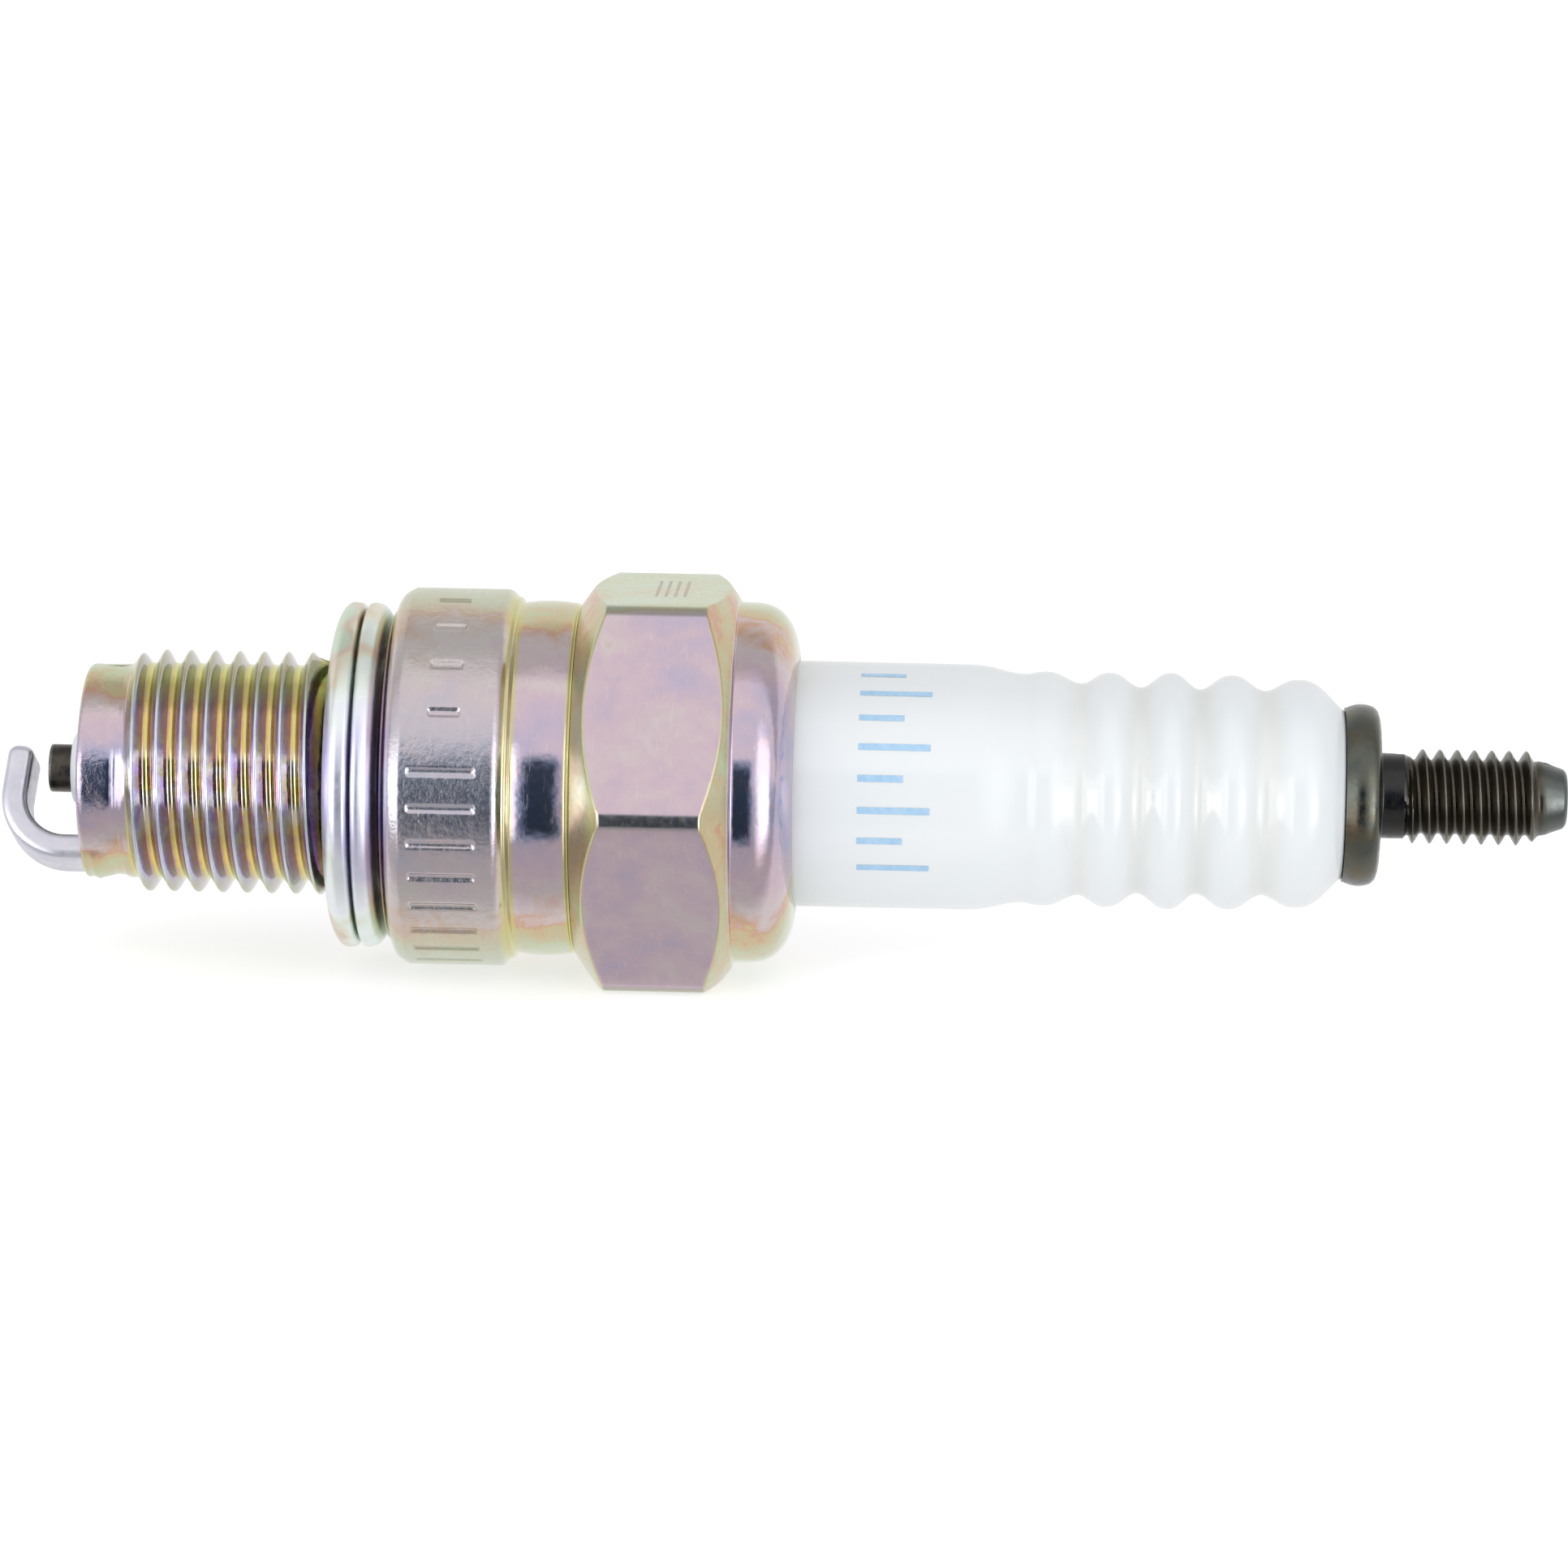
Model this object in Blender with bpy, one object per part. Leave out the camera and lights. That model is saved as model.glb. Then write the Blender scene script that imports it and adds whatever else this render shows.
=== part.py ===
"""Motorcycle spark plug, 12.7 mm reach, as separate named pieces.

The plug lies on one flat of its hexagon. +X runs along the plug's axis towards the terminal,
+Z is up and +Y is to the side. The origin is on the axis, in the plane of the shell's seat, which
the gasket rests against. Lengths below are in millimetres and are scaled to metres as the
vertices are made. A station is a distance along +X from the seat plane.
"""

from math import atan2, cos, pi, radians, sin, sqrt

import bmesh
import bpy
from mathutils import Matrix, Vector

MM = 0.001
SHARP_EDGE = radians(32.0)
WELD_DISTANCE = 1.0e-7

# Shell, the steel body
REACH = 12.5
PILOT_RADIUS = 4.33
FLANGE_RADIUS = 7.69
FLANGE_TOP = 4.80
RELIEF_RADIUS = 4.20
RELIEF_START = -2.25
NECK_RADIUS = 7.13
NECK_BELLY_RADIUS = 7.27
NECK_BOTTOM = 5.30
HEX_BOTTOM = 7.65
HEX_TOP = 14.0
HEX_ACROSS_FLATS = 15.84
HEX_ACROSS_CORNERS = 17.96
HEX_BOTTOM_RADIUS = 7.20
HEX_TOP_RADIUS = 7.55
HEX_CHAMFER_SLOPE = 1.4
CRIMP_RADIUS = 7.38
CRIMP_SHOULDER = 15.2
CRIMP_TOP = 16.5
LIP_RADIUS = 5.12
LIP_BOTTOM = 15.75
CHAMBER_RADIUS = 6.05
CHAMBER_BOTTOM = 6.4
CORE_BORE_RADIUS = 3.50
CORE_BORE_TOP = 3.0
PILOT_BORE_RADIUS = 3.05
HEX_SEGMENTS_PER_FLAT = 5

# Threads: pitch, major and minor radius, crest and root flats as parts of the pitch
PLUG_THREAD = {"pitch": 1.0, "major": 4.95, "minor": 4.41, "crest": 0.125, "root": 0.25}
STUD_THREAD = {"pitch": 0.7, "major": 1.92, "minor": 1.50, "crest": 0.125, "root": 0.18}
PLUG_THREAD_START = -11.1
PLUG_THREAD_END = -2.45
PLUG_CREST_AT_TOP = -0.29
PLUG_RUN_IN = 1.1
PLUG_RUN_OUT = 0.5
STUD_THREAD_START = 41.2
STUD_THREAD_END = 46.75
STUD_CREST_AT_TOP = 41.91
STUD_RUN_IN = 0.3
STUD_RUN_OUT = 0.45
ROWS_PER_TURN = 4

# Conical seat between shell and insulator, which holds the plate packing
SEAT_LOW = Vector((-6.0, PILOT_BORE_RADIUS))
SEAT_HIGH = Vector((-5.2, CORE_BORE_RADIUS))
SEAT_GAP = 0.08
PLATE_THICKNESS = 0.42

# Insulator
NOSE_TIP = -13.15
NOSE_TIP_RADIUS = 1.18
NOSE_RIM_RADIUS = 1.75
NOSE_ROOT_RADIUS = 2.55
INSULATOR_CORE_RADIUS = 3.30
INSULATOR_BELLY_RADIUS = 5.85
INSULATOR_BELLY_BOTTOM = 6.7
INSULATOR_BELLY_TOP = 10.2
INSULATOR_BARREL_RADIUS = 5.02
INSULATOR_BARREL_TOP = 23.5
RIB_FOOT_RADIUS = 4.69
RIB_CRESTS = ((26.55, 4.77), (29.15, 4.77), (31.65, 4.81), (34.1, 4.76), (36.8, 4.64))
RIB_VALLEYS = ((28.0, 4.32), (30.4, 4.20), (32.8, 4.17), (35.45, 4.16))
INSULATOR_TOP = 38.68
INSULATOR_TOP_RADIUS = 3.60
CORE_BORE = 1.75
NOSE_BORE = 1.06
BORE_STEP_TOP = -1.75
BORE_STEP_BOTTOM = -2.2

# Terminal stud
COLLAR_BOTTOM = 38.73
COLLAR_TOP = 40.15
COLLAR_RADIUS = 3.70
SHANK_RADIUS = 1.735
SHANK_FILLET = 0.24
STUD_SHAFT_RADIUS = 1.66
STUD_BOTTOM = 13.0
STUD_TIP = 47.8
STUD_TIP_RADIUS = 1.15

# Parts inside the insulator's bore
GAP = 0.06
RESISTOR_BOTTOM = 4.2
RESISTOR_TOP = 9.5
SEAL_RADIUS = 1.68
HEAD_RADIUS = 1.50
HEAD_BOTTOM = -1.68
HEAD_TOP = -0.72
ELECTRODE_RADIUS = 0.98
ELECTRODE_TIP = -14.09
COPPER_RADIUS = 0.46
COPPER_BOTTOM = -12.4

# Ground electrode, a strap bent across the end of the plug
STRAP_THICKNESS = 1.05
STRAP_WIDTH = 2.50
STRAP_EDGE_RADIUS = 0.36
STRAP_LEG_RADIUS = 3.60
STRAP_STRAIGHT = 0.75
STRAP_LOW = -15.92
STRAP_PAST_AXIS = 0.66
STRAP_BEND = 95.5
STRAP_ANGLE = 27.0
STRAP_BEND_STEPS = 9
STRAP_CORNER_STEPS = 3

# Folded gasket
GASKET_BOTTOM = -2.73
GASKET_TOP = -0.20
GASKET_RADIUS = 7.05
GASKET_BORE_RADIUS = 5.15
GASKET_LIP_RADIUS = 4.75
GASKET_SEAM = -1.27

# Packing above the insulator's shoulder
PACKING_RADIUS = 5.54
PACKING_WIRE_RADIUS = 0.38
LOWER_PACKING = 11.55
UPPER_PACKING = 15.25
TALC_BOTTOM = 12.05
TALC_TOP = 14.75


def clear_scene():
    """Empty the scene of the objects it starts with."""
    for obj in list(bpy.data.objects):
        bpy.data.objects.remove(obj, do_unlink=True)


def make_material(name, colour, metallic, roughness):
    """A Principled material with plain values."""
    material = bpy.data.materials.new(name)
    material.use_nodes = True
    shader = material.node_tree.nodes["Principled BSDF"]
    shader.inputs["Base Color"].default_value = (*colour, 1.0)
    shader.inputs["Metallic"].default_value = metallic
    shader.inputs["Roughness"].default_value = roughness
    return material


def point_at(station, radius, angle):
    """A point on a turned surface. The angle starts at +Z and turns through -Y."""
    return Vector((station, -radius * sin(angle), radius * cos(angle))) * MM


def finish_object(name, bm, material):
    """Close the mesh, face it outwards and put it in the scene."""
    bmesh.ops.remove_doubles(bm, verts=bm.verts, dist=WELD_DISTANCE)
    bmesh.ops.recalc_face_normals(bm, faces=bm.faces)
    mesh = bpy.data.meshes.new(name)
    bm.to_mesh(mesh)
    bm.free()
    mesh.shade_smooth()
    mesh.set_sharp_from_angle(angle=SHARP_EDGE)
    mesh.materials.append(material)
    obj = bpy.data.objects.new(name, mesh)
    bpy.context.collection.objects.link(obj)
    return obj


def spin_outline(name, outline, segments, material):
    """Turn an outline of (station, radius) points about the X axis.

    An outline that starts and ends on the axis makes a solid; any other one is closed into a
    loop and makes a ring.
    """
    bm = bmesh.new()
    verts = [bm.verts.new(point_at(station, radius, 0.0)) for station, radius in outline]
    edges = [bm.edges.new(pair) for pair in zip(verts, verts[1:])]
    if outline[0][1] > 0.0:
        edges.append(bm.edges.new((verts[-1], verts[0])))
    bmesh.ops.spin(bm, geom=verts + edges, cent=(0.0, 0.0, 0.0), axis=(1.0, 0.0, 0.0),
                   angle=2.0 * pi, steps=segments, use_merge=True)
    return finish_object(name, bm, material)


def arc(centre, radius, start, end, steps):
    """Outline points along an arc. Angles in degrees: 0 is +X, 90 is outwards."""
    points = []
    for step in range(steps + 1):
        angle = radians(start + (end - start) * step / steps)
        points.append((centre[0] + radius * cos(angle), centre[1] + radius * sin(angle)))
    return points


def wave(low, high, steps):
    """Outline points easing from one (station, radius) to another, without the last one."""
    points = []
    for step in range(steps):
        part = step / steps
        ease = 0.5 - 0.5 * cos(pi * part)
        station = low[0] + (high[0] - low[0]) * part
        points.append((station, low[1] + (high[1] - low[1]) * ease))
    return points


def make_ring(bm, angles, station, radius):
    """A ring of vertices. Station and radius may be functions of the angle."""
    ring = []
    for angle in angles:
        x = station(angle) if callable(station) else station
        r = radius(angle) if callable(radius) else radius
        ring.append(bm.verts.new(point_at(x, r, angle)))
    return ring


def bridge_rings(bm, first, second):
    """Join two rings of the same count with quads."""
    count = len(first)
    for i in range(count):
        j = (i + 1) % count
        bm.faces.new((first[i], first[j], second[j], second[i]))


def thread_rows(thread, start, end, crest_at_top, run_in, run_out, first_angle):
    """Rows that wind along a right-hand thread, as (station at the top, radius function).

    Every turn has four rows: the crest's two edges and the root's two edges. The thread grows
    out of the minor radius over the run-in and sinks back into it over the run-out. A row is
    kept when it stays between start and end over its whole turn from the first angle.
    """
    pitch = thread["pitch"]
    lead = pitch * first_angle / (2.0 * pi)
    half_crest = 0.5 * thread["crest"] * pitch
    half_root = 0.5 * thread["root"] * pitch
    depth = thread["major"] - thread["minor"]
    offsets = ((-half_crest, 1.0), (half_crest, 1.0),
               (0.5 * pitch - half_root, 0.0), (0.5 * pitch + half_root, 0.0))
    turn = int((start - crest_at_top) // pitch) - 1
    rows = []
    while crest_at_top + (turn - 1) * pitch < end:
        for offset, height in offsets:
            station = crest_at_top + turn * pitch + offset
            if station + lead < start or station + lead + pitch > end:
                continue

            def radius_at(x, height=height):
                grow = min(max((x - start) / run_in, 0.0), 1.0)
                sink = min(max((end - x) / run_out, 0.0), 1.0)
                return thread["minor"] + depth * height * grow * sink

            rows.append((station, radius_at))
        turn += 1
    return rows


def bridge_thread(bm, angles, low_ring, high_ring, rows, pitch):
    """Fill the space between two flat rings with rows that wind once per pitch."""
    count = len(angles)
    grid = []
    for station, radius_at in rows:
        line = []
        for angle in angles:
            x = station + pitch * angle / (2.0 * pi)
            line.append(bm.verts.new(point_at(x, radius_at(x), angle)))
        grid.append(line)
    last = len(grid) - 1
    for row in range(last):
        for i in range(count - 1):
            bm.faces.new((grid[row][i], grid[row][i + 1], grid[row + 1][i + 1], grid[row + 1][i]))
    for row in range(last - ROWS_PER_TURN):
        bm.faces.new((grid[row][-1], grid[row + ROWS_PER_TURN][0],
                      grid[row + ROWS_PER_TURN + 1][0], grid[row + 1][-1]))
    for i in range(count - 1):
        bm.faces.new((low_ring[i], low_ring[i + 1], grid[0][i + 1], grid[0][i]))
        bm.faces.new((grid[last][i], grid[last][i + 1], high_ring[i + 1], high_ring[i]))
    low_seam = [low_ring[-1], low_ring[0]] + [grid[row][0] for row in range(ROWS_PER_TURN + 1)]
    bm.faces.new(low_seam + [grid[0][-1]])
    first = last - ROWS_PER_TURN
    high_seam = [high_ring[-1], high_ring[0], grid[last][0]]
    bm.faces.new(high_seam + [grid[row][-1] for row in range(first, last + 1)])


def hex_radius(angle):
    """The outline of the hexagon, its six corners cut back by narrow flats."""
    sixth = pi / 3.0
    from_flat = (angle + sixth / 2.0) % sixth - sixth / 2.0
    from_corner = angle % sixth - sixth / 2.0
    flat = 0.5 * HEX_ACROSS_FLATS / cos(from_flat)
    corner = 0.5 * HEX_ACROSS_CORNERS / cos(from_corner)
    return min(flat, corner)


def hex_angles():
    """Angles around the shell, with one at each edge of the hexagon."""
    corner = HEX_ACROSS_CORNERS / 2.0
    full_corner = HEX_ACROSS_FLATS / sqrt(3.0)
    half_facet = atan2((full_corner - corner) * sqrt(3.0), corner)
    angles = []
    for sector in range(6):
        start = radians(60.0 * sector - 30.0) + half_facet
        width = pi / 3.0 - 2.0 * half_facet
        angles += [start + width * i / HEX_SEGMENTS_PER_FLAT for i in range(HEX_SEGMENTS_PER_FLAT + 1)]
    return angles


def shell_outside(bm, angles):
    """Rings along the shell's outside, from its firing end to its crimped lip."""

    def chamfer_low(angle):
        return HEX_BOTTOM + (hex_radius(angle) - HEX_BOTTOM_RADIUS) / HEX_CHAMFER_SLOPE

    def chamfer_high(angle):
        return HEX_TOP - (hex_radius(angle) - HEX_TOP_RADIUS) / HEX_CHAMFER_SLOPE

    nose = [make_ring(bm, angles, -REACH, PILOT_RADIUS - 0.32),
            make_ring(bm, angles, -REACH + 0.12, PILOT_RADIUS - 0.11),
            make_ring(bm, angles, -REACH + 0.4, PILOT_RADIUS),
            make_ring(bm, angles, PLUG_THREAD_START - 0.25, PILOT_RADIUS)]
    nose.append(make_ring(bm, angles, PLUG_THREAD_START, PLUG_THREAD["minor"]))
    body_stations = [
        (PLUG_THREAD_END, PLUG_THREAD["minor"]),
        (RELIEF_START, RELIEF_RADIUS),
        (-0.15, RELIEF_RADIUS),
        (0.0, RELIEF_RADIUS + 0.2),
        (0.0, FLANGE_RADIUS - 0.92),
        (0.25, FLANGE_RADIUS - 0.42),
        (0.7, FLANGE_RADIUS),
        (FLANGE_TOP - 0.25, FLANGE_RADIUS),
        (FLANGE_TOP + 0.15, FLANGE_RADIUS - 0.28),
        (FLANGE_TOP + 0.4, NECK_RADIUS + 0.2),
        (NECK_BOTTOM, NECK_RADIUS),
        (0.5 * (NECK_BOTTOM + HEX_BOTTOM), NECK_BELLY_RADIUS),
        (HEX_BOTTOM - 0.05, NECK_RADIUS),
        (HEX_BOTTOM, HEX_BOTTOM_RADIUS),
        (chamfer_low, hex_radius),
        (chamfer_high, hex_radius),
        (HEX_TOP, HEX_TOP_RADIUS),
        (HEX_TOP + 0.02, CRIMP_RADIUS),
        (CRIMP_SHOULDER, CRIMP_RADIUS - 0.15),
    ]
    shoulder = (CRIMP_SHOULDER, CRIMP_RADIUS - 0.15)
    rim = Vector((CRIMP_TOP - CRIMP_SHOULDER, 1.5))
    for step in range(1, 6):
        turn = 0.5 * pi * step / 5
        body_stations.append((shoulder[0] + rim.x * sin(turn), shoulder[1] - rim.y * (1 - cos(turn))))
    body_stations.append((CRIMP_TOP, LIP_RADIUS + 0.12))
    body = [make_ring(bm, angles, station, radius) for station, radius in body_stations]
    for rings in (nose, body):
        for first, second in zip(rings, rings[1:]):
            bridge_rings(bm, first, second)
    rows = thread_rows(PLUG_THREAD, PLUG_THREAD_START, PLUG_THREAD_END, PLUG_CREST_AT_TOP,
                       PLUG_RUN_IN, PLUG_RUN_OUT, angles[0])
    bridge_thread(bm, angles, nose[-1], body[0], rows, PLUG_THREAD["pitch"])
    return nose[0], body[-1]


def build_shell(material):
    """The steel shell: thread, seat flange, buckle neck, hexagon, crimped lip and stepped bore."""
    bm = bmesh.new()
    angles = hex_angles()
    low, high = shell_outside(bm, angles)
    bore_stations = (
        (CRIMP_TOP - 0.12, LIP_RADIUS),
        (LIP_BOTTOM, LIP_RADIUS),
        (LIP_BOTTOM - 0.1, CHAMBER_RADIUS),
        (CHAMBER_BOTTOM, CHAMBER_RADIUS),
        (CORE_BORE_TOP, CORE_BORE_RADIUS),
        (SEAT_HIGH.x, SEAT_HIGH.y),
        (SEAT_LOW.x, SEAT_LOW.y),
        (-REACH + 0.15, PILOT_BORE_RADIUS),
        (-REACH, PILOT_BORE_RADIUS + 0.15),
    )
    rings = [high] + [make_ring(bm, angles, station, radius) for station, radius in bore_stations]
    rings.append(low)
    for first, second in zip(rings, rings[1:]):
        bridge_rings(bm, first, second)
    return finish_object("metal_shell", bm, material)


def build_insulator(material):
    """The ceramic body: nose, conical seat, core, belly, smooth barrel and five ribs, with a bore."""
    seat = SEAT_HIGH - SEAT_LOW
    outward = Vector((seat.y, -seat.x)).normalized() * (2.0 * SEAT_GAP + PLATE_THICKNESS)
    seat_foot = SEAT_LOW + outward
    slope = seat.y / seat.x
    foot_station = seat_foot.x + (NOSE_ROOT_RADIUS - seat_foot.y) / slope
    head_station = seat_foot.x + (INSULATOR_CORE_RADIUS - seat_foot.y) / slope
    outline = [(NOSE_TIP, NOSE_BORE + 0.08), (NOSE_TIP, NOSE_TIP_RADIUS)]
    outline += [(NOSE_TIP + 0.12, NOSE_RIM_RADIUS - 0.3), (NOSE_TIP + 0.4, NOSE_RIM_RADIUS)]
    outline += [(foot_station, NOSE_ROOT_RADIUS), (head_station, INSULATOR_CORE_RADIUS)]
    outline += [(CORE_BORE_TOP + 0.3, INSULATOR_CORE_RADIUS)]
    outline += [(INSULATOR_BELLY_BOTTOM, INSULATOR_BELLY_RADIUS)]
    outline += [(INSULATOR_BELLY_TOP, INSULATOR_BELLY_RADIUS)]
    outline += [(INSULATOR_BELLY_TOP + 0.8, INSULATOR_BARREL_RADIUS)]
    outline += wave((INSULATOR_BARREL_TOP, INSULATOR_BARREL_RADIUS), (25.6, RIB_FOOT_RADIUS), 4)
    outline += wave((25.6, RIB_FOOT_RADIUS), RIB_CRESTS[0], 2)
    for crest, valley, following in zip(RIB_CRESTS, RIB_VALLEYS, RIB_CRESTS[1:]):
        outline += wave(crest, valley, 3)
        outline += wave(valley, following, 3)
    outline += wave(RIB_CRESTS[-1], (38.2, INSULATOR_TOP_RADIUS + 0.15), 4)
    outline += [(38.2, INSULATOR_TOP_RADIUS + 0.15), (INSULATOR_TOP, INSULATOR_TOP_RADIUS - 0.2)]
    outline += [(INSULATOR_TOP, CORE_BORE + 0.1), (INSULATOR_TOP - 0.1, CORE_BORE)]
    outline += [(BORE_STEP_TOP, CORE_BORE), (BORE_STEP_BOTTOM, NOSE_BORE)]
    outline += [(NOSE_TIP + 0.08, NOSE_BORE)]
    return spin_outline("insulator", outline, 30, material)


def build_stud(material):
    """The terminal: a shaft in the insulator, a collar, a shank, an M4 thread and a point."""
    bm = bmesh.new()
    count = 28
    angles = [2.0 * pi * i / count for i in range(count)]
    shaft = [(STUD_BOTTOM, STUD_SHAFT_RADIUS - 0.15), (STUD_BOTTOM + 0.15, STUD_SHAFT_RADIUS)]
    for groove in range(4):
        start = STUD_BOTTOM + 0.7 + 0.8 * groove
        shaft += [(start, STUD_SHAFT_RADIUS), (start + 0.15, STUD_SHAFT_RADIUS - 0.15)]
        shaft += [(start + 0.35, STUD_SHAFT_RADIUS - 0.15), (start + 0.5, STUD_SHAFT_RADIUS)]
    collar = [(COLLAR_BOTTOM, STUD_SHAFT_RADIUS), (COLLAR_BOTTOM, COLLAR_RADIUS - 0.3)]
    collar += [(COLLAR_BOTTOM + 0.12, COLLAR_RADIUS - 0.07), (COLLAR_BOTTOM + 0.35, COLLAR_RADIUS)]
    collar += [(COLLAR_TOP - 0.35, COLLAR_RADIUS), (COLLAR_TOP - 0.12, COLLAR_RADIUS - 0.07)]
    collar += [(COLLAR_TOP, COLLAR_RADIUS - 0.3), (COLLAR_TOP, SHANK_RADIUS + SHANK_FILLET)]
    collar += [(COLLAR_TOP + SHANK_FILLET, SHANK_RADIUS), (STUD_THREAD_START - 0.1, SHANK_RADIUS)]
    collar += [(STUD_THREAD_START, STUD_THREAD["minor"])]
    tip = [(STUD_THREAD_END, STUD_THREAD["minor"]), (STUD_THREAD_END + 0.25, 1.44)]
    tip += [(STUD_THREAD_END + 0.6, 1.27), (STUD_TIP - 0.1, STUD_TIP_RADIUS)]
    tip += [(STUD_TIP, STUD_TIP_RADIUS - 0.12)]
    lower = [make_ring(bm, angles, station, radius) for station, radius in shaft + collar]
    upper = [make_ring(bm, angles, station, radius) for station, radius in tip]
    for rings in (lower, upper):
        for first, second in zip(rings, rings[1:]):
            bridge_rings(bm, first, second)
    rows = thread_rows(STUD_THREAD, STUD_THREAD_START, STUD_THREAD_END, STUD_CREST_AT_TOP,
                       STUD_RUN_IN, STUD_RUN_OUT, angles[0])
    bridge_thread(bm, angles, lower[-1], upper[0], rows, STUD_THREAD["pitch"])
    bm.faces.new(lower[0])
    bm.faces.new(upper[-1])
    return finish_object("terminal_stud", bm, material)


def build_plug_core(materials):
    """The pieces stacked in the insulator's bore, from the terminal down to the tip."""
    cylinders = (
        ("upper_glass_seal", RESISTOR_TOP + GAP, STUD_BOTTOM - GAP, materials["glass_seal"]),
        ("resistor", RESISTOR_BOTTOM, RESISTOR_TOP, materials["resistor"]),
        ("lower_glass_seal", HEAD_TOP + GAP, RESISTOR_BOTTOM - GAP, materials["glass_seal"]),
    )
    for name, bottom, top, material in cylinders:
        outline = [(bottom, 0.0), (bottom, SEAL_RADIUS - 0.12), (bottom + 0.12, SEAL_RADIUS)]
        outline += [(top - 0.12, SEAL_RADIUS), (top, SEAL_RADIUS - 0.12), (top, 0.0)]
        spin_outline(name, outline, 24, material)
    cup = COPPER_RADIUS + GAP
    electrode = [(ELECTRODE_TIP, 0.0), (ELECTRODE_TIP, ELECTRODE_RADIUS - 0.08)]
    electrode += [(ELECTRODE_TIP + 0.08, ELECTRODE_RADIUS), (BORE_STEP_TOP - 0.35, ELECTRODE_RADIUS)]
    electrode += [(HEAD_BOTTOM, HEAD_RADIUS - 0.1), (HEAD_BOTTOM + 0.2, HEAD_RADIUS)]
    electrode += [(HEAD_TOP, HEAD_RADIUS), (HEAD_TOP, cup)]
    electrode += [(COPPER_BOTTOM, cup), (COPPER_BOTTOM - 0.35, 0.0)]
    spin_outline("centre_electrode", electrode, 24, materials["nickel"])
    copper = [(COPPER_BOTTOM - 0.35 + 2.0 * GAP, 0.0), (COPPER_BOTTOM + GAP, COPPER_RADIUS)]
    copper += [(HEAD_TOP - GAP, COPPER_RADIUS), (HEAD_TOP - GAP, 0.0)]
    spin_outline("copper_core", copper, 16, materials["copper"])


def strap_section():
    """The strap's cross-section, a rectangle with rounded corners, as (across, through) pairs."""
    half_width = 0.5 * STRAP_WIDTH - STRAP_EDGE_RADIUS
    half_depth = 0.5 * STRAP_THICKNESS - STRAP_EDGE_RADIUS
    corners = ((half_width, half_depth, 0.0), (-half_width, half_depth, 90.0),
               (-half_width, -half_depth, 180.0), (half_width, -half_depth, 270.0))
    section = []
    for across, through, start in corners:
        section += arc((across, through), STRAP_EDGE_RADIUS, start, start + 90.0, STRAP_CORNER_STEPS)
    return section


def strap_path():
    """The strap's centre line as (station, radius, heading) with the heading in radians.

    It leaves the shell's end face straight, bends a little past a quarter circle and runs across
    the axis, so that its tip leans back towards the centre electrode.
    """
    bend_start = -REACH - STRAP_STRAIGHT
    bend_radius = bend_start - STRAP_LOW - 0.5 * STRAP_THICKNESS
    centre_radius = STRAP_LEG_RADIUS - bend_radius
    path = [(-REACH - 0.04, STRAP_LEG_RADIUS, 0.0, 1.0)]
    for step in range(STRAP_BEND_STEPS + 1):
        turn = radians(STRAP_BEND) * step / STRAP_BEND_STEPS
        station = bend_start - bend_radius * sin(turn)
        path.append((station, centre_radius + bend_radius * cos(turn), turn, 1.0))
    station, radius, turn, _ = path[-1]
    reach = (radius + STRAP_PAST_AXIS) / sin(turn)
    for back, scale in ((0.14, 1.0), (0.04, 0.93), (0.0, 0.78)):
        along = reach - back
        path.append((station - along * cos(turn), radius - along * sin(turn), turn, scale))
    return path


def build_ground_electrode(material):
    """The ground strap, swept along its path and set round the axis by its angle."""
    bm = bmesh.new()
    section = strap_section()
    place = Matrix.Rotation(radians(180.0 - STRAP_ANGLE), 3, "X")
    rings = []
    for station, radius, heading, scale in strap_path():
        ring = []
        for across, through in section:
            x = station - through * scale * sin(heading)
            z = radius + through * scale * cos(heading)
            ring.append(bm.verts.new(place @ Vector((x, across * scale, z)) * MM))
        rings.append(ring)
    for first, second in zip(rings, rings[1:]):
        bridge_rings(bm, first, second)
    bm.faces.new(rings[0])
    bm.faces.new(rings[-1])
    return finish_object("ground_electrode", bm, material)


def build_gasket(material):
    """The folded washer: a flat face for the cylinder head, a rounded fold, a seam and an inner lip."""
    flat_edge = GASKET_RADIUS - 1.35
    fold = []
    for step in range(6):
        turn = 0.5 * pi * step / 5
        fold.append((GASKET_BOTTOM + 1.05 * (1.0 - cos(turn)), flat_edge + 1.35 * sin(turn)))
    outline = [(GASKET_BOTTOM + 0.13, GASKET_BORE_RADIUS), (GASKET_BOTTOM, GASKET_BORE_RADIUS + 0.12)]
    outline += fold
    outline += [(GASKET_SEAM - 0.13, GASKET_RADIUS - 0.12), (GASKET_SEAM, GASKET_RADIUS - 0.5)]
    outline += [(GASKET_SEAM + 0.13, GASKET_RADIUS - 0.12), (GASKET_SEAM + 0.4, GASKET_RADIUS - 0.03)]
    outline += [(GASKET_TOP - 0.45, GASKET_RADIUS - 0.14), (GASKET_TOP - 0.17, GASKET_RADIUS - 0.52)]
    outline += [(GASKET_TOP, GASKET_RADIUS - 1.15)]
    outline += [(GASKET_TOP, GASKET_BORE_RADIUS + 0.12), (GASKET_TOP - 0.12, GASKET_BORE_RADIUS)]
    outline += [(GASKET_SEAM + 0.05, GASKET_BORE_RADIUS), (GASKET_SEAM - 0.08, GASKET_LIP_RADIUS)]
    outline += [(GASKET_SEAM - 0.38, GASKET_LIP_RADIUS), (GASKET_SEAM - 0.5, GASKET_BORE_RADIUS)]
    return spin_outline("gasket", outline, 36, material)


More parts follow.
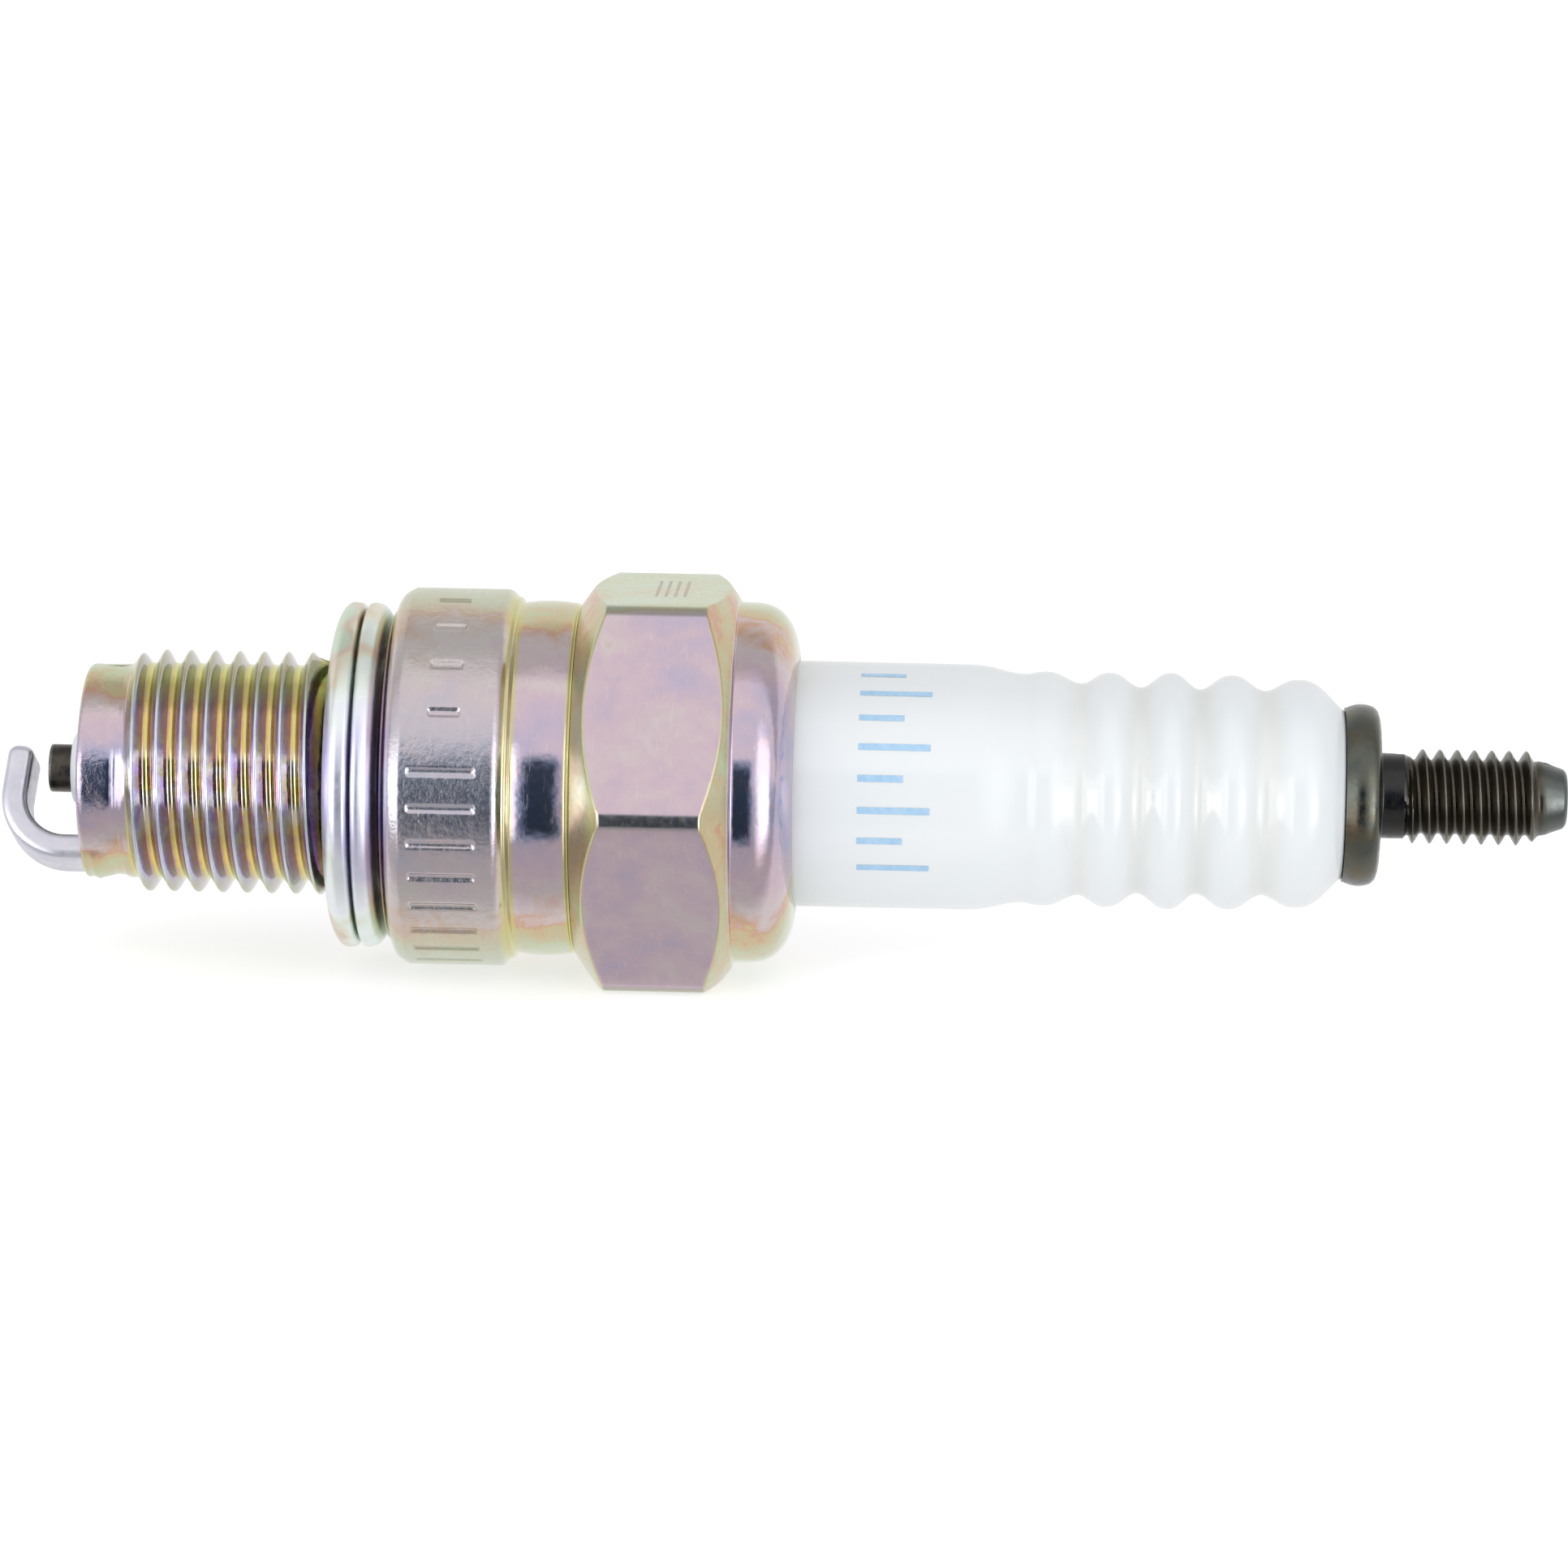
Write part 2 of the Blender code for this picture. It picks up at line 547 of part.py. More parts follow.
def build_packing(materials):
    """The plate packing on the seat, and the two wire rings with talc pressed between them."""
    seat = SEAT_HIGH - SEAT_LOW
    inward = Vector((seat.y, -seat.x)).normalized()
    corners = []
    for along, lift in ((0.12, 0.0), (0.12, 1.0), (0.9, 1.0), (0.9, 0.0)):
        corner = SEAT_LOW + seat * along + inward * (SEAT_GAP + PLATE_THICKNESS * lift)
        corners.append((corner.x, corner.y))
    spin_outline("plate_packing", corners, 36, materials["packing_steel"])
    for name, station in (("lower_packing_ring", LOWER_PACKING), ("upper_packing_ring", UPPER_PACKING)):
        wire = arc((station, PACKING_RADIUS), PACKING_WIRE_RADIUS, 0.0, 324.0, 9)
        spin_outline(name, wire, 32, materials["packing_steel"])
    inside = INSULATOR_BARREL_RADIUS + GAP
    outside = CHAMBER_RADIUS - 2.0 * GAP
    talc = [(TALC_BOTTOM, inside), (TALC_BOTTOM, outside), (TALC_TOP, outside), (TALC_TOP, inside)]
    spin_outline("talc_packing", talc, 36, materials["talc"])


def main():
    clear_scene()
    materials = {
        "plated_steel": make_material("plated_steel", (0.62, 0.56, 0.50), 1.0, 0.26),
        "gasket_steel": make_material("gasket_steel", (0.66, 0.68, 0.60), 1.0, 0.28),
        "insulator": make_material("insulator", (0.86, 0.88, 0.91), 0.0, 0.10),
        "stud_steel": make_material("stud_steel", (0.17, 0.15, 0.12), 0.9, 0.38),
        "strap_nickel": make_material("strap_nickel", (0.58, 0.57, 0.58), 1.0, 0.30),
        "nickel": make_material("nickel", (0.14, 0.11, 0.08), 0.9, 0.42),
        "copper": make_material("copper", (0.72, 0.36, 0.20), 1.0, 0.35),
        "glass_seal": make_material("glass_seal", (0.16, 0.15, 0.15), 0.2, 0.35),
        "resistor": make_material("resistor", (0.07, 0.07, 0.07), 0.0, 0.75),
        "packing_steel": make_material("packing_steel", (0.50, 0.49, 0.47), 1.0, 0.40),
        "talc": make_material("talc", (0.80, 0.79, 0.74), 0.0, 0.90),
    }
    build_shell(materials["plated_steel"])
    build_insulator(materials["insulator"])
    build_stud(materials["stud_steel"])
    build_plug_core(materials)
    build_ground_electrode(materials["strap_nickel"])
    build_gasket(materials["gasket_steel"])
    build_packing(materials)


main()
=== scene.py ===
"""Spark plug lying on its hexagon: fine surfaces, finishes, floor, light and camera.

Sizes are in millimetres, except those of the floor, the lamp and the camera, which are in metres.
A station is a distance along +X from the shell's seat plane, and an angle goes round the axis from
+Z through -Y.
"""

from math import cos, pi, radians, sin

import bpy
from mathutils import Matrix, Vector


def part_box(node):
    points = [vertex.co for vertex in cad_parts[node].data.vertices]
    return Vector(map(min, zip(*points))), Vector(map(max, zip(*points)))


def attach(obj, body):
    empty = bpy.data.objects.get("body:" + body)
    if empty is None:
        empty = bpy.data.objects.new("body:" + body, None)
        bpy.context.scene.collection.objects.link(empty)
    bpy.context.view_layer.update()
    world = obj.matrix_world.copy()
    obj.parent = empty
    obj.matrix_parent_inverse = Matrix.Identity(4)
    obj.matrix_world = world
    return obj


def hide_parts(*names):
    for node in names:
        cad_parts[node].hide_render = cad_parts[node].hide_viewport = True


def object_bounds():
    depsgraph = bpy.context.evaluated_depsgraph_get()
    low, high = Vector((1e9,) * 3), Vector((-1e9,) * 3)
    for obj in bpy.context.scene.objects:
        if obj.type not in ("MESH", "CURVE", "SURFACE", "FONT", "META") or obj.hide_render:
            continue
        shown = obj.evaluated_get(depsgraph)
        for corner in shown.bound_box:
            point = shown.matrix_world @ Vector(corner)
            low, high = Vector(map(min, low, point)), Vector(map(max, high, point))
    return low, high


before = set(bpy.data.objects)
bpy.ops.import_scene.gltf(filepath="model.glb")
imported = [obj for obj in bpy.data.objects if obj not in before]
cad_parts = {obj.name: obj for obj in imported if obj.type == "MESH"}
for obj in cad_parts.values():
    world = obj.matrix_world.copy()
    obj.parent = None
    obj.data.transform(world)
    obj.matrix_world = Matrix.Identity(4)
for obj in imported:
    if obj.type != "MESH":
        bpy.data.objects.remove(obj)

CAD_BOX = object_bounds()
MM = 0.001
TURN = 2.0 * pi


# ---------------------------------------------------------------- sizes from the frame

def node_span(node):
    """Lowest and highest station of a CAD node, in millimetres."""
    low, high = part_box(node)
    return low[0] / MM, high[0] / MM


def node_radius(node):
    """Half of a CAD node's width across the axis, in millimetres."""
    low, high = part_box(node)
    return 0.5 * (high[1] - low[1]) / MM


SHELL_LOW, SHELL_HIGH = node_span("metal_shell")
INSULATOR_LOW, INSULATOR_HIGH = node_span("insulator")
GASKET_LOW, GASKET_HIGH = node_span("gasket")
HEX_HALF = -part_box("metal_shell")[0][2] / MM
HEX_CORNER = node_radius("metal_shell")
GASKET_RADIUS = node_radius("gasket")
STRAP_LOW = node_span("ground_electrode")[0]
TIP = node_span("centre_electrode")[0]
STUD_POINT = node_span("terminal_stud")[1] - 0.06

# crest and root are the widths of their flats, as shares of the pitch
PLUG_THREAD = {"pitch": 1.0, "major": 4.95, "minor": 4.41, "crest": 0.125, "root": 0.25}
STUD_THREAD = {"pitch": 0.7, "major": 1.92, "minor": 1.50, "crest": 0.125, "root": 0.18}

BORE_RADIUS = 3.05
PILOT_RADIUS = 4.33
PILOT_BACK = -11.8
THREAD_BACK = -2.30
FLANGE_RADIUS = 7.69
HEX_LOW = 7.65
HEX_HIGH = 14.0
HEX_LOW_RADIUS = 7.20
HEX_HIGH_RADIUS = 7.55
CHAMFER_SLOPE = 1.4
COLLAR_START = 14.25
COLLAR_RADIUS = 7.36
LIP_RADIUS = 5.1
BARREL_RADIUS = 5.02
SHANK_RADIUS = 1.735
STRAP_TURN = radians(153.0)


# ---------------------------------------------------------------- mesh helpers

class Skin:
    """Collects vertices and faces, ring by ring, and turns them into one smooth object."""

    def __init__(self):
        self.verts = []
        self.faces = []

    def ring(self, angles, station, radius):
        """Add a ring; the radius may be a function of the angle."""
        start = len(self.verts)
        for angle in angles:
            r = radius(angle) if callable(radius) else radius
            self.verts.append((station * MM, -r * sin(angle) * MM, r * cos(angle) * MM))
        return list(range(start, start + len(angles)))

    def bridge(self, first, second):
        """Quads between two closed rings, facing away from the axis as stations rise."""
        count = len(first)
        for i in range(count):
            j = (i + 1) % count
            self.faces.append((first[i], second[i], second[j], first[j]))

    def loft(self, rings):
        """Quads between each ring and the next."""
        for first, second in zip(rings, rings[1:]):
            self.bridge(first, second)

    def sleeve(self, angles, outline):
        """Rings along an outline of (station, radius) pairs. Returns the first and last ring."""
        rings = [self.ring(angles, station, radius) for station, radius in outline]
        self.loft(rings)
        return rings[0], rings[-1]

    def cap(self, ring, station, outward):
        """Close a ring with a fan round a point on the axis."""
        centre = len(self.verts)
        self.verts.append((station * MM, 0.0, 0.0))
        count = len(ring)
        for i in range(count):
            j = (i + 1) % count
            face = (ring[i], ring[j], centre) if outward else (ring[j], ring[i], centre)
            self.faces.append(face)

    def thread(self, angles, low_ring, high_ring, rows, pitch):
        """Rows that wind once per pitch between two flat rings."""
        grid = []
        for station, radius_at in rows:
            start = len(self.verts)
            for angle in angles:
                x = station + pitch * angle / TURN
                r = radius_at(x)
                self.verts.append((x * MM, -r * sin(angle) * MM, r * cos(angle) * MM))
            grid.append(list(range(start, start + len(angles))))
        per_turn = sum(1 for station, _ in rows if station < rows[0][0] + pitch - 1.0e-6)
        last = len(grid) - 1
        for low, high in zip(grid, grid[1:]):
            for i in range(len(angles) - 1):
                self.faces.append((low[i], high[i], high[i + 1], low[i + 1]))
        for row in range(last - per_turn):
            self.faces.append((grid[row][-1], grid[row + 1][-1],
                               grid[row + per_turn + 1][0], grid[row + per_turn][0]))
        for i in range(len(angles) - 1):
            self.faces.append((low_ring[i], grid[0][i], grid[0][i + 1], low_ring[i + 1]))
            self.faces.append((grid[last][i], high_ring[i], high_ring[i + 1], grid[last][i + 1]))
        seam = [grid[row][0] for row in range(per_turn + 1)]
        self.faces.append([low_ring[-1], grid[0][-1]] + seam[::-1] + [low_ring[0]])
        seam = [grid[row][-1] for row in range(last, last - per_turn - 1, -1)]
        self.faces.append([high_ring[-1], high_ring[0], grid[last][0]] + seam[::-1])

    def build(self, name, material, sharp=38.0):
        """The finished object, shaded smooth except along sharp edges."""
        mesh = bpy.data.meshes.new(name)
        mesh.from_pydata(self.verts, [], self.faces)
        mesh.validate()
        mesh.shade_smooth()
        mesh.set_sharp_from_angle(angle=radians(sharp))
        mesh.materials.append(material)
        obj = bpy.data.objects.new(name, mesh)
        bpy.context.collection.objects.link(obj)
        return obj


def even_angles(count):
    return [TURN * i / count for i in range(count)]


def rounded(points, steps):
    """An outline with rounded corners, from (station, radius, rounding) points."""
    outline = []
    last = len(points) - 1
    for i, (x, r, rounding) in enumerate(points):
        here = Vector((x, r))
        if i in (0, last) or rounding <= 0.0:
            outline.append((x, r))
            continue
        back = Vector(points[i - 1][:2]) - here
        ahead = Vector(points[i + 1][:2]) - here
        reach = min(rounding, 0.49 * back.length, 0.49 * ahead.length)
        a = here + back.normalized() * reach
        b = here + ahead.normalized() * reach
        for step in range(steps + 1):
            t = step / steps
            p = a * (1 - t) ** 2 + here * (2 * t * (1 - t)) + b * t ** 2
            outline.append((p.x, p.y))
    return outline


def eased(points, steps):
    """An outline that flows level through (station, radius) turning points, broader on top."""
    outline = []
    for (x0, r0), (x1, r1) in zip(points, points[1:]):
        for step in range(steps):
            t = step / steps
            crest_side = t if r0 > r1 else 1.0 - t
            fall = (0.5 - 0.5 * cos(pi * crest_side)) ** 1.3
            outline.append((x0 + (x1 - x0) * t, max(r0, r1) - abs(r1 - r0) * fall))
    outline.append(points[-1])
    return outline


def split_runs(outline, longest):
    """Add points so that no stretch of an outline is longer than the given length."""
    result = [outline[0]]
    for (x0, r0), (x1, r1) in zip(outline, outline[1:]):
        length = ((x1 - x0) ** 2 + (r1 - r0) ** 2) ** 0.5
        pieces = max(1, int(length / longest) + 1)
        for step in range(1, pieces + 1):
            t = step / pieces
            result.append((x0 + (x1 - x0) * t, r0 + (r1 - r0) * t))
    return result


def smooth_step(value, low, high):
    """0 below low and 1 above high, with a smooth rise between them."""
    t = min(max((value - low) / (high - low), 0.0), 1.0)
    return t * t * (3.0 - 2.0 * t)


def outline_radius(outline, station):
    """Radius of an outline of (station, radius) points at a station."""
    if station <= outline[0][0]:
        return outline[0][1]
    for (x0, r0), (x1, r1) in zip(outline, outline[1:]):
        if station <= x1:
            return r0 + (r1 - r0) * (station - x0) / (x1 - x0)
    return outline[-1][1]


def thread_profile(thread):
    """One turn of thread as (offset from its crest, height), with soft crests and roots."""
    pitch = thread["pitch"]
    half_crest = 0.5 * thread["crest"] * pitch
    half_root = 0.5 * thread["root"] * pitch
    flank = 0.5 * pitch - half_crest - half_root
    half = [
        (0.0, 1.0),
        (0.6 * half_crest, 0.985),
        (half_crest, 0.93),
        (half_crest + 0.16 * flank, 0.82),
        (half_crest + 0.5 * flank, 0.48),
        (half_crest + 0.84 * flank, 0.15),
        (half_crest + flank, 0.045),
        (half_crest + flank + 0.5 * half_root, 0.01),
    ]
    return [(-x, h) for x, h in half[:0:-1]] + half + [(0.5 * pitch, 0.0)]


def thread_rows(thread, crest_at_top, core, grow, sink):
    """Winding rows of a thread, as (station, radius function).

    The thread stands on the core outline. It rises between the two grow stations and falls
    between the two sink stations. No row starts or ends outside the core.
    """
    pitch = thread["pitch"]
    depth = thread["major"] - thread["minor"]
    start, end = core[0][0], core[-1][0]
    rows = []
    turn = int((start - crest_at_top) // pitch) - 1
    while crest_at_top + (turn - 1) * pitch < end:
        for offset, height in thread_profile(thread):
            station = crest_at_top + turn * pitch + offset
            if station < start or station + pitch > end:
                continue

            def radius_at(x, height=height):
                rise = smooth_step(x, grow[0], grow[1])
                fall = 1.0 - smooth_step(x, sink[0], sink[1])
                return outline_radius(core, x) + depth * height * rise * fall

            rows.append((station, radius_at))
        turn += 1
    return rows


# ---------------------------------------------------------------- node helpers

class Nodes:
    """Short calls for a node tree. A value is a number, a colour or a node's output."""

    def __init__(self, tree):
        self.tree = tree

    def node(self, kind, **settings):
        made = self.tree.nodes.new(kind)
        for key, value in settings.items():
            setattr(made, key, value)
        return made

    def put(self, value, socket):
        if isinstance(value, (int, float)):
            socket.default_value = value
        elif isinstance(value, tuple):
            socket.default_value = (*value, 1.0)
        else:
            self.tree.links.new(value, socket)

    def math(self, operation, a, b=0.0, c=0.0):
        made = self.node("ShaderNodeMath", operation=operation)
        for value, socket in zip((a, b, c), made.inputs):
            self.put(value, socket)
        return made.outputs[0]

    def plus(self, a, b):
        return self.math("ADD", a, b)

    def minus(self, a, b):
        return self.math("SUBTRACT", a, b)

    def times(self, a, b):
        return self.math("MULTIPLY", a, b)

    def size_of(self, a):
        return self.math("ABSOLUTE", a)

    def span(self, value, low, high, to_low=0.0, to_high=1.0):
        """Value from low to high, smoothly, as to_low to to_high."""
        made = self.node("ShaderNodeMapRange", interpolation_type="SMOOTHSTEP")
        for number, socket in zip((value, low, high, to_low, to_high), made.inputs):
            self.put(number, socket)
        return made.outputs["Result"]

    def between(self, value, low_out, low_in, high_in, high_out):
        """1 from low_in to high_in, falling smoothly to 0 at low_out and high_out."""
        return self.times(self.span(value, low_out, low_in), self.span(value, high_out, high_in))

    def sway(self, value, width):
        """A value from 0 to 1 as one from -width / 2 to width / 2."""
        return self.math("MULTIPLY_ADD", value, width, -0.5 * width)

    def blend(self, factor, a, b):
        """Number between a and b."""
        return self.plus(a, self.times(factor, self.minus(b, a)))

    def mix(self, factor, a, b):
        """Colour between a and b."""
        made = self.node("ShaderNodeMix", data_type="RGBA")
        self.put(factor, made.inputs["Factor"])
        self.put(a, made.inputs[6])
        self.put(b, made.inputs[7])
        return made.outputs[2]

    def over(self, under, mask, share, colour):
        """The colour under, with a share of another colour over it where the mask is 1."""
        return self.mix(self.times(mask, share), under, colour)

    def ramp(self, factor, *stops):
        """Colour by factor, from (position, colour) stops."""
        made = self.node("ShaderNodeValToRGB")
        elements = made.color_ramp.elements
        while len(elements) < len(stops):
            elements.new(0.5)
        for element, (position, colour) in zip(elements, stops):
            element.position = position
            element.color = (*colour, 1.0)
        self.put(factor, made.inputs["Fac"])
        return made.outputs["Color"]


class Shader(Nodes):
    """A Principled material."""

    def __init__(self, name, metallic, roughness, **sockets):
        self.material = bpy.data.materials.new(name)
        self.material.use_nodes = True
        super().__init__(self.material.node_tree)
        self.main = self.tree.nodes["Principled BSDF"]
        self.main.inputs["Metallic"].default_value = metallic
        self.main.inputs["Roughness"].default_value = roughness
        for socket, value in sockets.items():
            self.main.inputs[socket.replace("_", " ")].default_value = value
        self.place = self.node("ShaderNodeTexCoord").outputs["Object"]

    def measure(self):
        """Find the point's station, radius and angle, and how far across and above the axis it is."""
        parts = self.node("ShaderNodeSeparateXYZ")
        self.put(self.place, parts.inputs[0])
        self.station, self.across, self.height = (self.times(out, 1.0 / MM) for out in parts.outputs)
        squares = self.plus(self.times(self.across, self.across), self.times(self.height, self.height))
        self.radius = self.math("SQRT", squares)
        self.angle = self.math("ARCTAN2", self.times(self.across, -1.0), self.height)

    def noise(self, scale, detail=3.0, rough=0.55, stretch=(1.0, 1.0, 1.0), distortion=0.0):
        """Noise in object space; the scale is in features per millimetre."""
        mapping = self.node("ShaderNodeMapping")
        self.put(self.place, mapping.inputs["Vector"])
        mapping.inputs["Scale"].default_value = [part / MM for part in stretch]
        made = self.node("ShaderNodeTexNoise")
        self.put(mapping.outputs[0], made.inputs["Vector"])
        made.inputs["Scale"].default_value = scale
        made.inputs["Detail"].default_value = detail
        made.inputs["Roughness"].default_value = rough
        made.inputs["Distortion"].default_value = distortion
        return made.outputs["Fac"]

    def colour(self, value):
        self.put(value, self.main.inputs["Base Color"])

    def roughness(self, value):
        self.put(value, self.main.inputs["Roughness"])

    def bump(self, height, strength, distance):
        """Relief; the distance is in millimetres."""
        made = self.node("ShaderNodeBump")
        made.inputs["Strength"].default_value = strength
        made.inputs["Distance"].default_value = distance * MM
        self.put(height, made.inputs["Height"])
        self.tree.links.new(made.outputs[0], self.main.inputs["Normal"])


# ---------------------------------------------------------------- finishes

# the plating's film by its value: lilac, pink, copper, straw, green
FILM_COLOURS = (
    (0.0, (0.47, 0.44, 0.58)),
    (0.12, (0.55, 0.46, 0.57)),
    (0.26, (0.63, 0.49, 0.55)),
    (0.42, (0.645, 0.56, 0.565)),
    (0.54, (0.63, 0.47, 0.42)),
    (0.60, (0.62, 0.39, 0.27)),
    (0.65, (0.62, 0.49, 0.29)),
    (0.75, (0.58, 0.53, 0.34)),
    (0.86, (0.55, 0.60, 0.38)),
    (1.0, (0.55, 0.62, 0.47)),
)

# scale, detail, roughness, distortion and width of the patches, blotches and mottle in the film
FILM_NOISE = (
    (0.20, 3.0, 0.55, 1.2, 0.80),
    (0.55, 3.0, 0.6, 1.0, 0.44),
    (1.8, 5.0, 0.65, 0.0, 0.20),
)

# the film along one turn of thread: pale crest, violet and brown flank, gold root, green flank; the pale
# crest and the bright gold in the root are painted highlights
THREAD_TINTS_AND_HIGHLIGHTS = (
    (0.0, (0.58, 0.63, 0.56)),
    (0.06, (0.68, 0.73, 0.72)),
    (0.14, (0.49, 0.48, 0.84)),
    (0.25, (0.36, 0.22, 0.72)),
    (0.38, (0.44, 0.22, 0.52)),
    (0.47, (0.57, 0.36, 0.21)),
    (0.56, (0.80, 0.60, 0.14)),
    (0.66, (0.68, 0.62, 0.16)),
    (0.76, (0.51, 0.54, 0.18)),
    (0.86, (0.49, 0.48, 0.26)),
    (0.95, (0.50, 0.53, 0.39)),
)

# turns added so that a crest gets the palest colour, its painted highlight; the whole ones keep the sum
# above zero
CREST_PHASE = 20.44

GASKET_COLOURS = (
    (0.20, (0.74, 0.72, 0.88)),
    (0.34, (0.84, 0.85, 0.94)),
    (0.48, (0.88, 0.92, 0.92)),
    (0.60, (0.80, 0.87, 0.80)),
    (0.68, (0.80, 0.74, 0.60)),
    (0.74, (0.72, 0.60, 0.50)),
    (0.82, (0.66, 0.76, 0.62)),
)

PATINA_COLOURS = (
    (0.30, (0.085, 0.098, 0.095)),
    (0.52, (0.118, 0.122, 0.105)),
    (0.66, (0.135, 0.120, 0.085)),
    (0.76, (0.15, 0.105, 0.065)),
)

STRAP_COLOURS = (
    (0.28, (0.60, 0.60, 0.66)),
    (0.5, (0.68, 0.67, 0.75)),
    (0.72, (0.74, 0.73, 0.74)),
)

# the four ticks on the hexagon's top flat
MARKS_LOW = 10.6
MARKS_HIGH = 12.12
MARKS_PITCH = 0.38

# the fine turned ridges where the thread starts
RIDGE_PITCH = 0.23


def chamfer_mask(s):
    """1 on the cones at the hexagon's two ends."""
    low = s.math("MULTIPLY_ADD", s.station, CHAMFER_SLOPE, HEX_LOW_RADIUS - HEX_LOW * CHAMFER_SLOPE)
    high = s.math("MULTIPLY_ADD", s.station, -CHAMFER_SLOPE, HEX_HIGH_RADIUS + HEX_HIGH * CHAMFER_SLOPE)
    inside = s.minus(s.math("MINIMUM", low, high), s.radius)
    mask = s.times(s.span(inside, 0.12, 0.04), s.math("GREATER_THAN", s.station, HEX_LOW + 0.01))
    return s.times(mask, s.math("LESS_THAN", s.station, HEX_HIGH))


def film_and_sheen(s):
    """How thick the plating's colour film looks, from 0 (lilac) to 1 (pale green), plus painted sheen.

    The painted sheen follows the angle round the axis, greener at the top and bottom and lilac at
    the front and back, but each of the hexagon's flats keeps one value, the top and bottom flats
    greener, and its chamfers another. Noise of three sizes, the film's own patches, breaks it up.
    """
    # painted sheen: the film's tints as seen at a slant, greener at the top and bottom, lilac at the front
    # and back
    slant_sheen = s.math("COSINE", s.math("MULTIPLY_ADD", s.angle, 2.0, 0.42))
    turned = s.math("MULTIPLY_ADD", slant_sheen, 0.44, 0.48)
    # painted sheen: the top and bottom flats greener, the other flats lilac
    flat_sheen = s.span(s.size_of(s.height), 7.6, 7.9, 0.24, 0.92)
    value = s.blend(s.between(s.station, 7.9, 8.5, 13.3, 13.9), turned, flat_sheen)
    value = s.blend(chamfer_mask(s), value, 0.74)
    for scale, detail, rough, distortion, width in FILM_NOISE:
        value = s.plus(value, s.sway(s.noise(scale, detail, rough, distortion=distortion), width))
    return value


def thread_film_and_light(s):
    """The film along each turn of thread, with a painted highlight paler towards -Y, painted sheen greener
    at top and bottom, and painted shade darker on the crests at top and bottom.
    """
    highlight_silver = (0.74, 0.76, 0.84)
    green = (0.56, 0.67, 0.23)
    shade_umber = (0.40, 0.34, 0.22)
    along = s.minus(s.station, s.math("DIVIDE", s.angle, TURN))
    wobble = s.sway(s.noise(2.2, 4.0, 0.6), 0.14)
    phase = s.math("FRACT", s.plus(s.plus(along, wobble), CREST_PHASE))
    tint = s.ramp(phase, *THREAD_TINTS_AND_HIGHLIGHTS)
    # painted highlight: a pale silver sheen on the side towards -Y
    front_highlight = s.times(s.span(s.noise(0.9, 4.0, 0.6), 0.40, 0.62), s.span(s.across, -3.9, -4.4))
    tint = s.over(tint, front_highlight, 0.5, highlight_silver)
    # painted sheen: greener towards the top and bottom
    tint = s.over(tint, s.span(s.size_of(s.height), 3.1, 4.4), 0.5, green)
    # painted shade: darker umber on the crests at the top and bottom
    tip_shade = s.times(s.span(s.size_of(s.height), 3.6, 4.6), s.span(s.radius, 4.6, 4.85))
    return s.over(tint, tip_shade, 0.65, shade_umber)


def plate_tint(s):
    """The film's colours, with their painted sheen and highlights, all over the shell, on its thread and in
    its two grooves.
    """
    straw = (0.62, 0.58, 0.22)
    tint = s.ramp(film_and_sheen(s), *FILM_COLOURS)
    threaded = s.times(s.between(s.station, -10.6, -10.3, -1.9, -1.6), s.span(s.radius, 4.05, 4.2))
    tint = s.over(tint, threaded, 0.92, thread_film_and_light(s))
    low_groove = s.between(s.station, 4.75, 5.0, 5.3, 5.5)
    high_groove = s.between(s.station, 7.35, 7.5, 7.65, 7.8)
    return s.over(tint, s.math("MAXIMUM", low_groove, high_groove), 0.7, straw)


def plate_marks(s):
    """Four plain ticks stamped across the hexagon's top flat."""
    phase = s.math("FRACT", s.math("DIVIDE", s.minus(s.station, MARKS_LOW), MARKS_PITCH))
    tick = s.between(phase, 0.25, 0.33, 0.59, 0.67)
    after_first = s.math("GREATER_THAN", s.station, MARKS_LOW)
    before_last = s.math("LESS_THAN", s.station, MARKS_HIGH)
    inside = s.times(after_first, before_last)
    across = s.span(s.size_of(s.across), 2.0, 1.9)
    top = s.math("GREATER_THAN", s.height, 7.7)
    return s.times(s.times(tick, inside), s.times(across, top))


def plate_relief(s, grains, flange, flats, pilot):
    """Grain, slow waves, and fine ridges where the thread starts."""
    coarse = s.times(s.plus(flange, pilot), 1.7)
    grain = s.times(grains, s.plus(coarse, 0.05))
    swell = s.plus(s.times(pilot, 1.2), s.math("MULTIPLY_ADD", flats, -0.7, 1.3))
    waves = s.times(s.noise(1.4, 2.0, 0.45), swell)
    ridged = s.between(s.station, -11.1, -10.9, -10.5, -10.3)
    ridges = s.math("SINE", s.times(s.station, TURN / RIDGE_PITCH))
    return s.plus(s.plus(grain, waves), s.times(ridges, s.times(ridged, 0.25)))


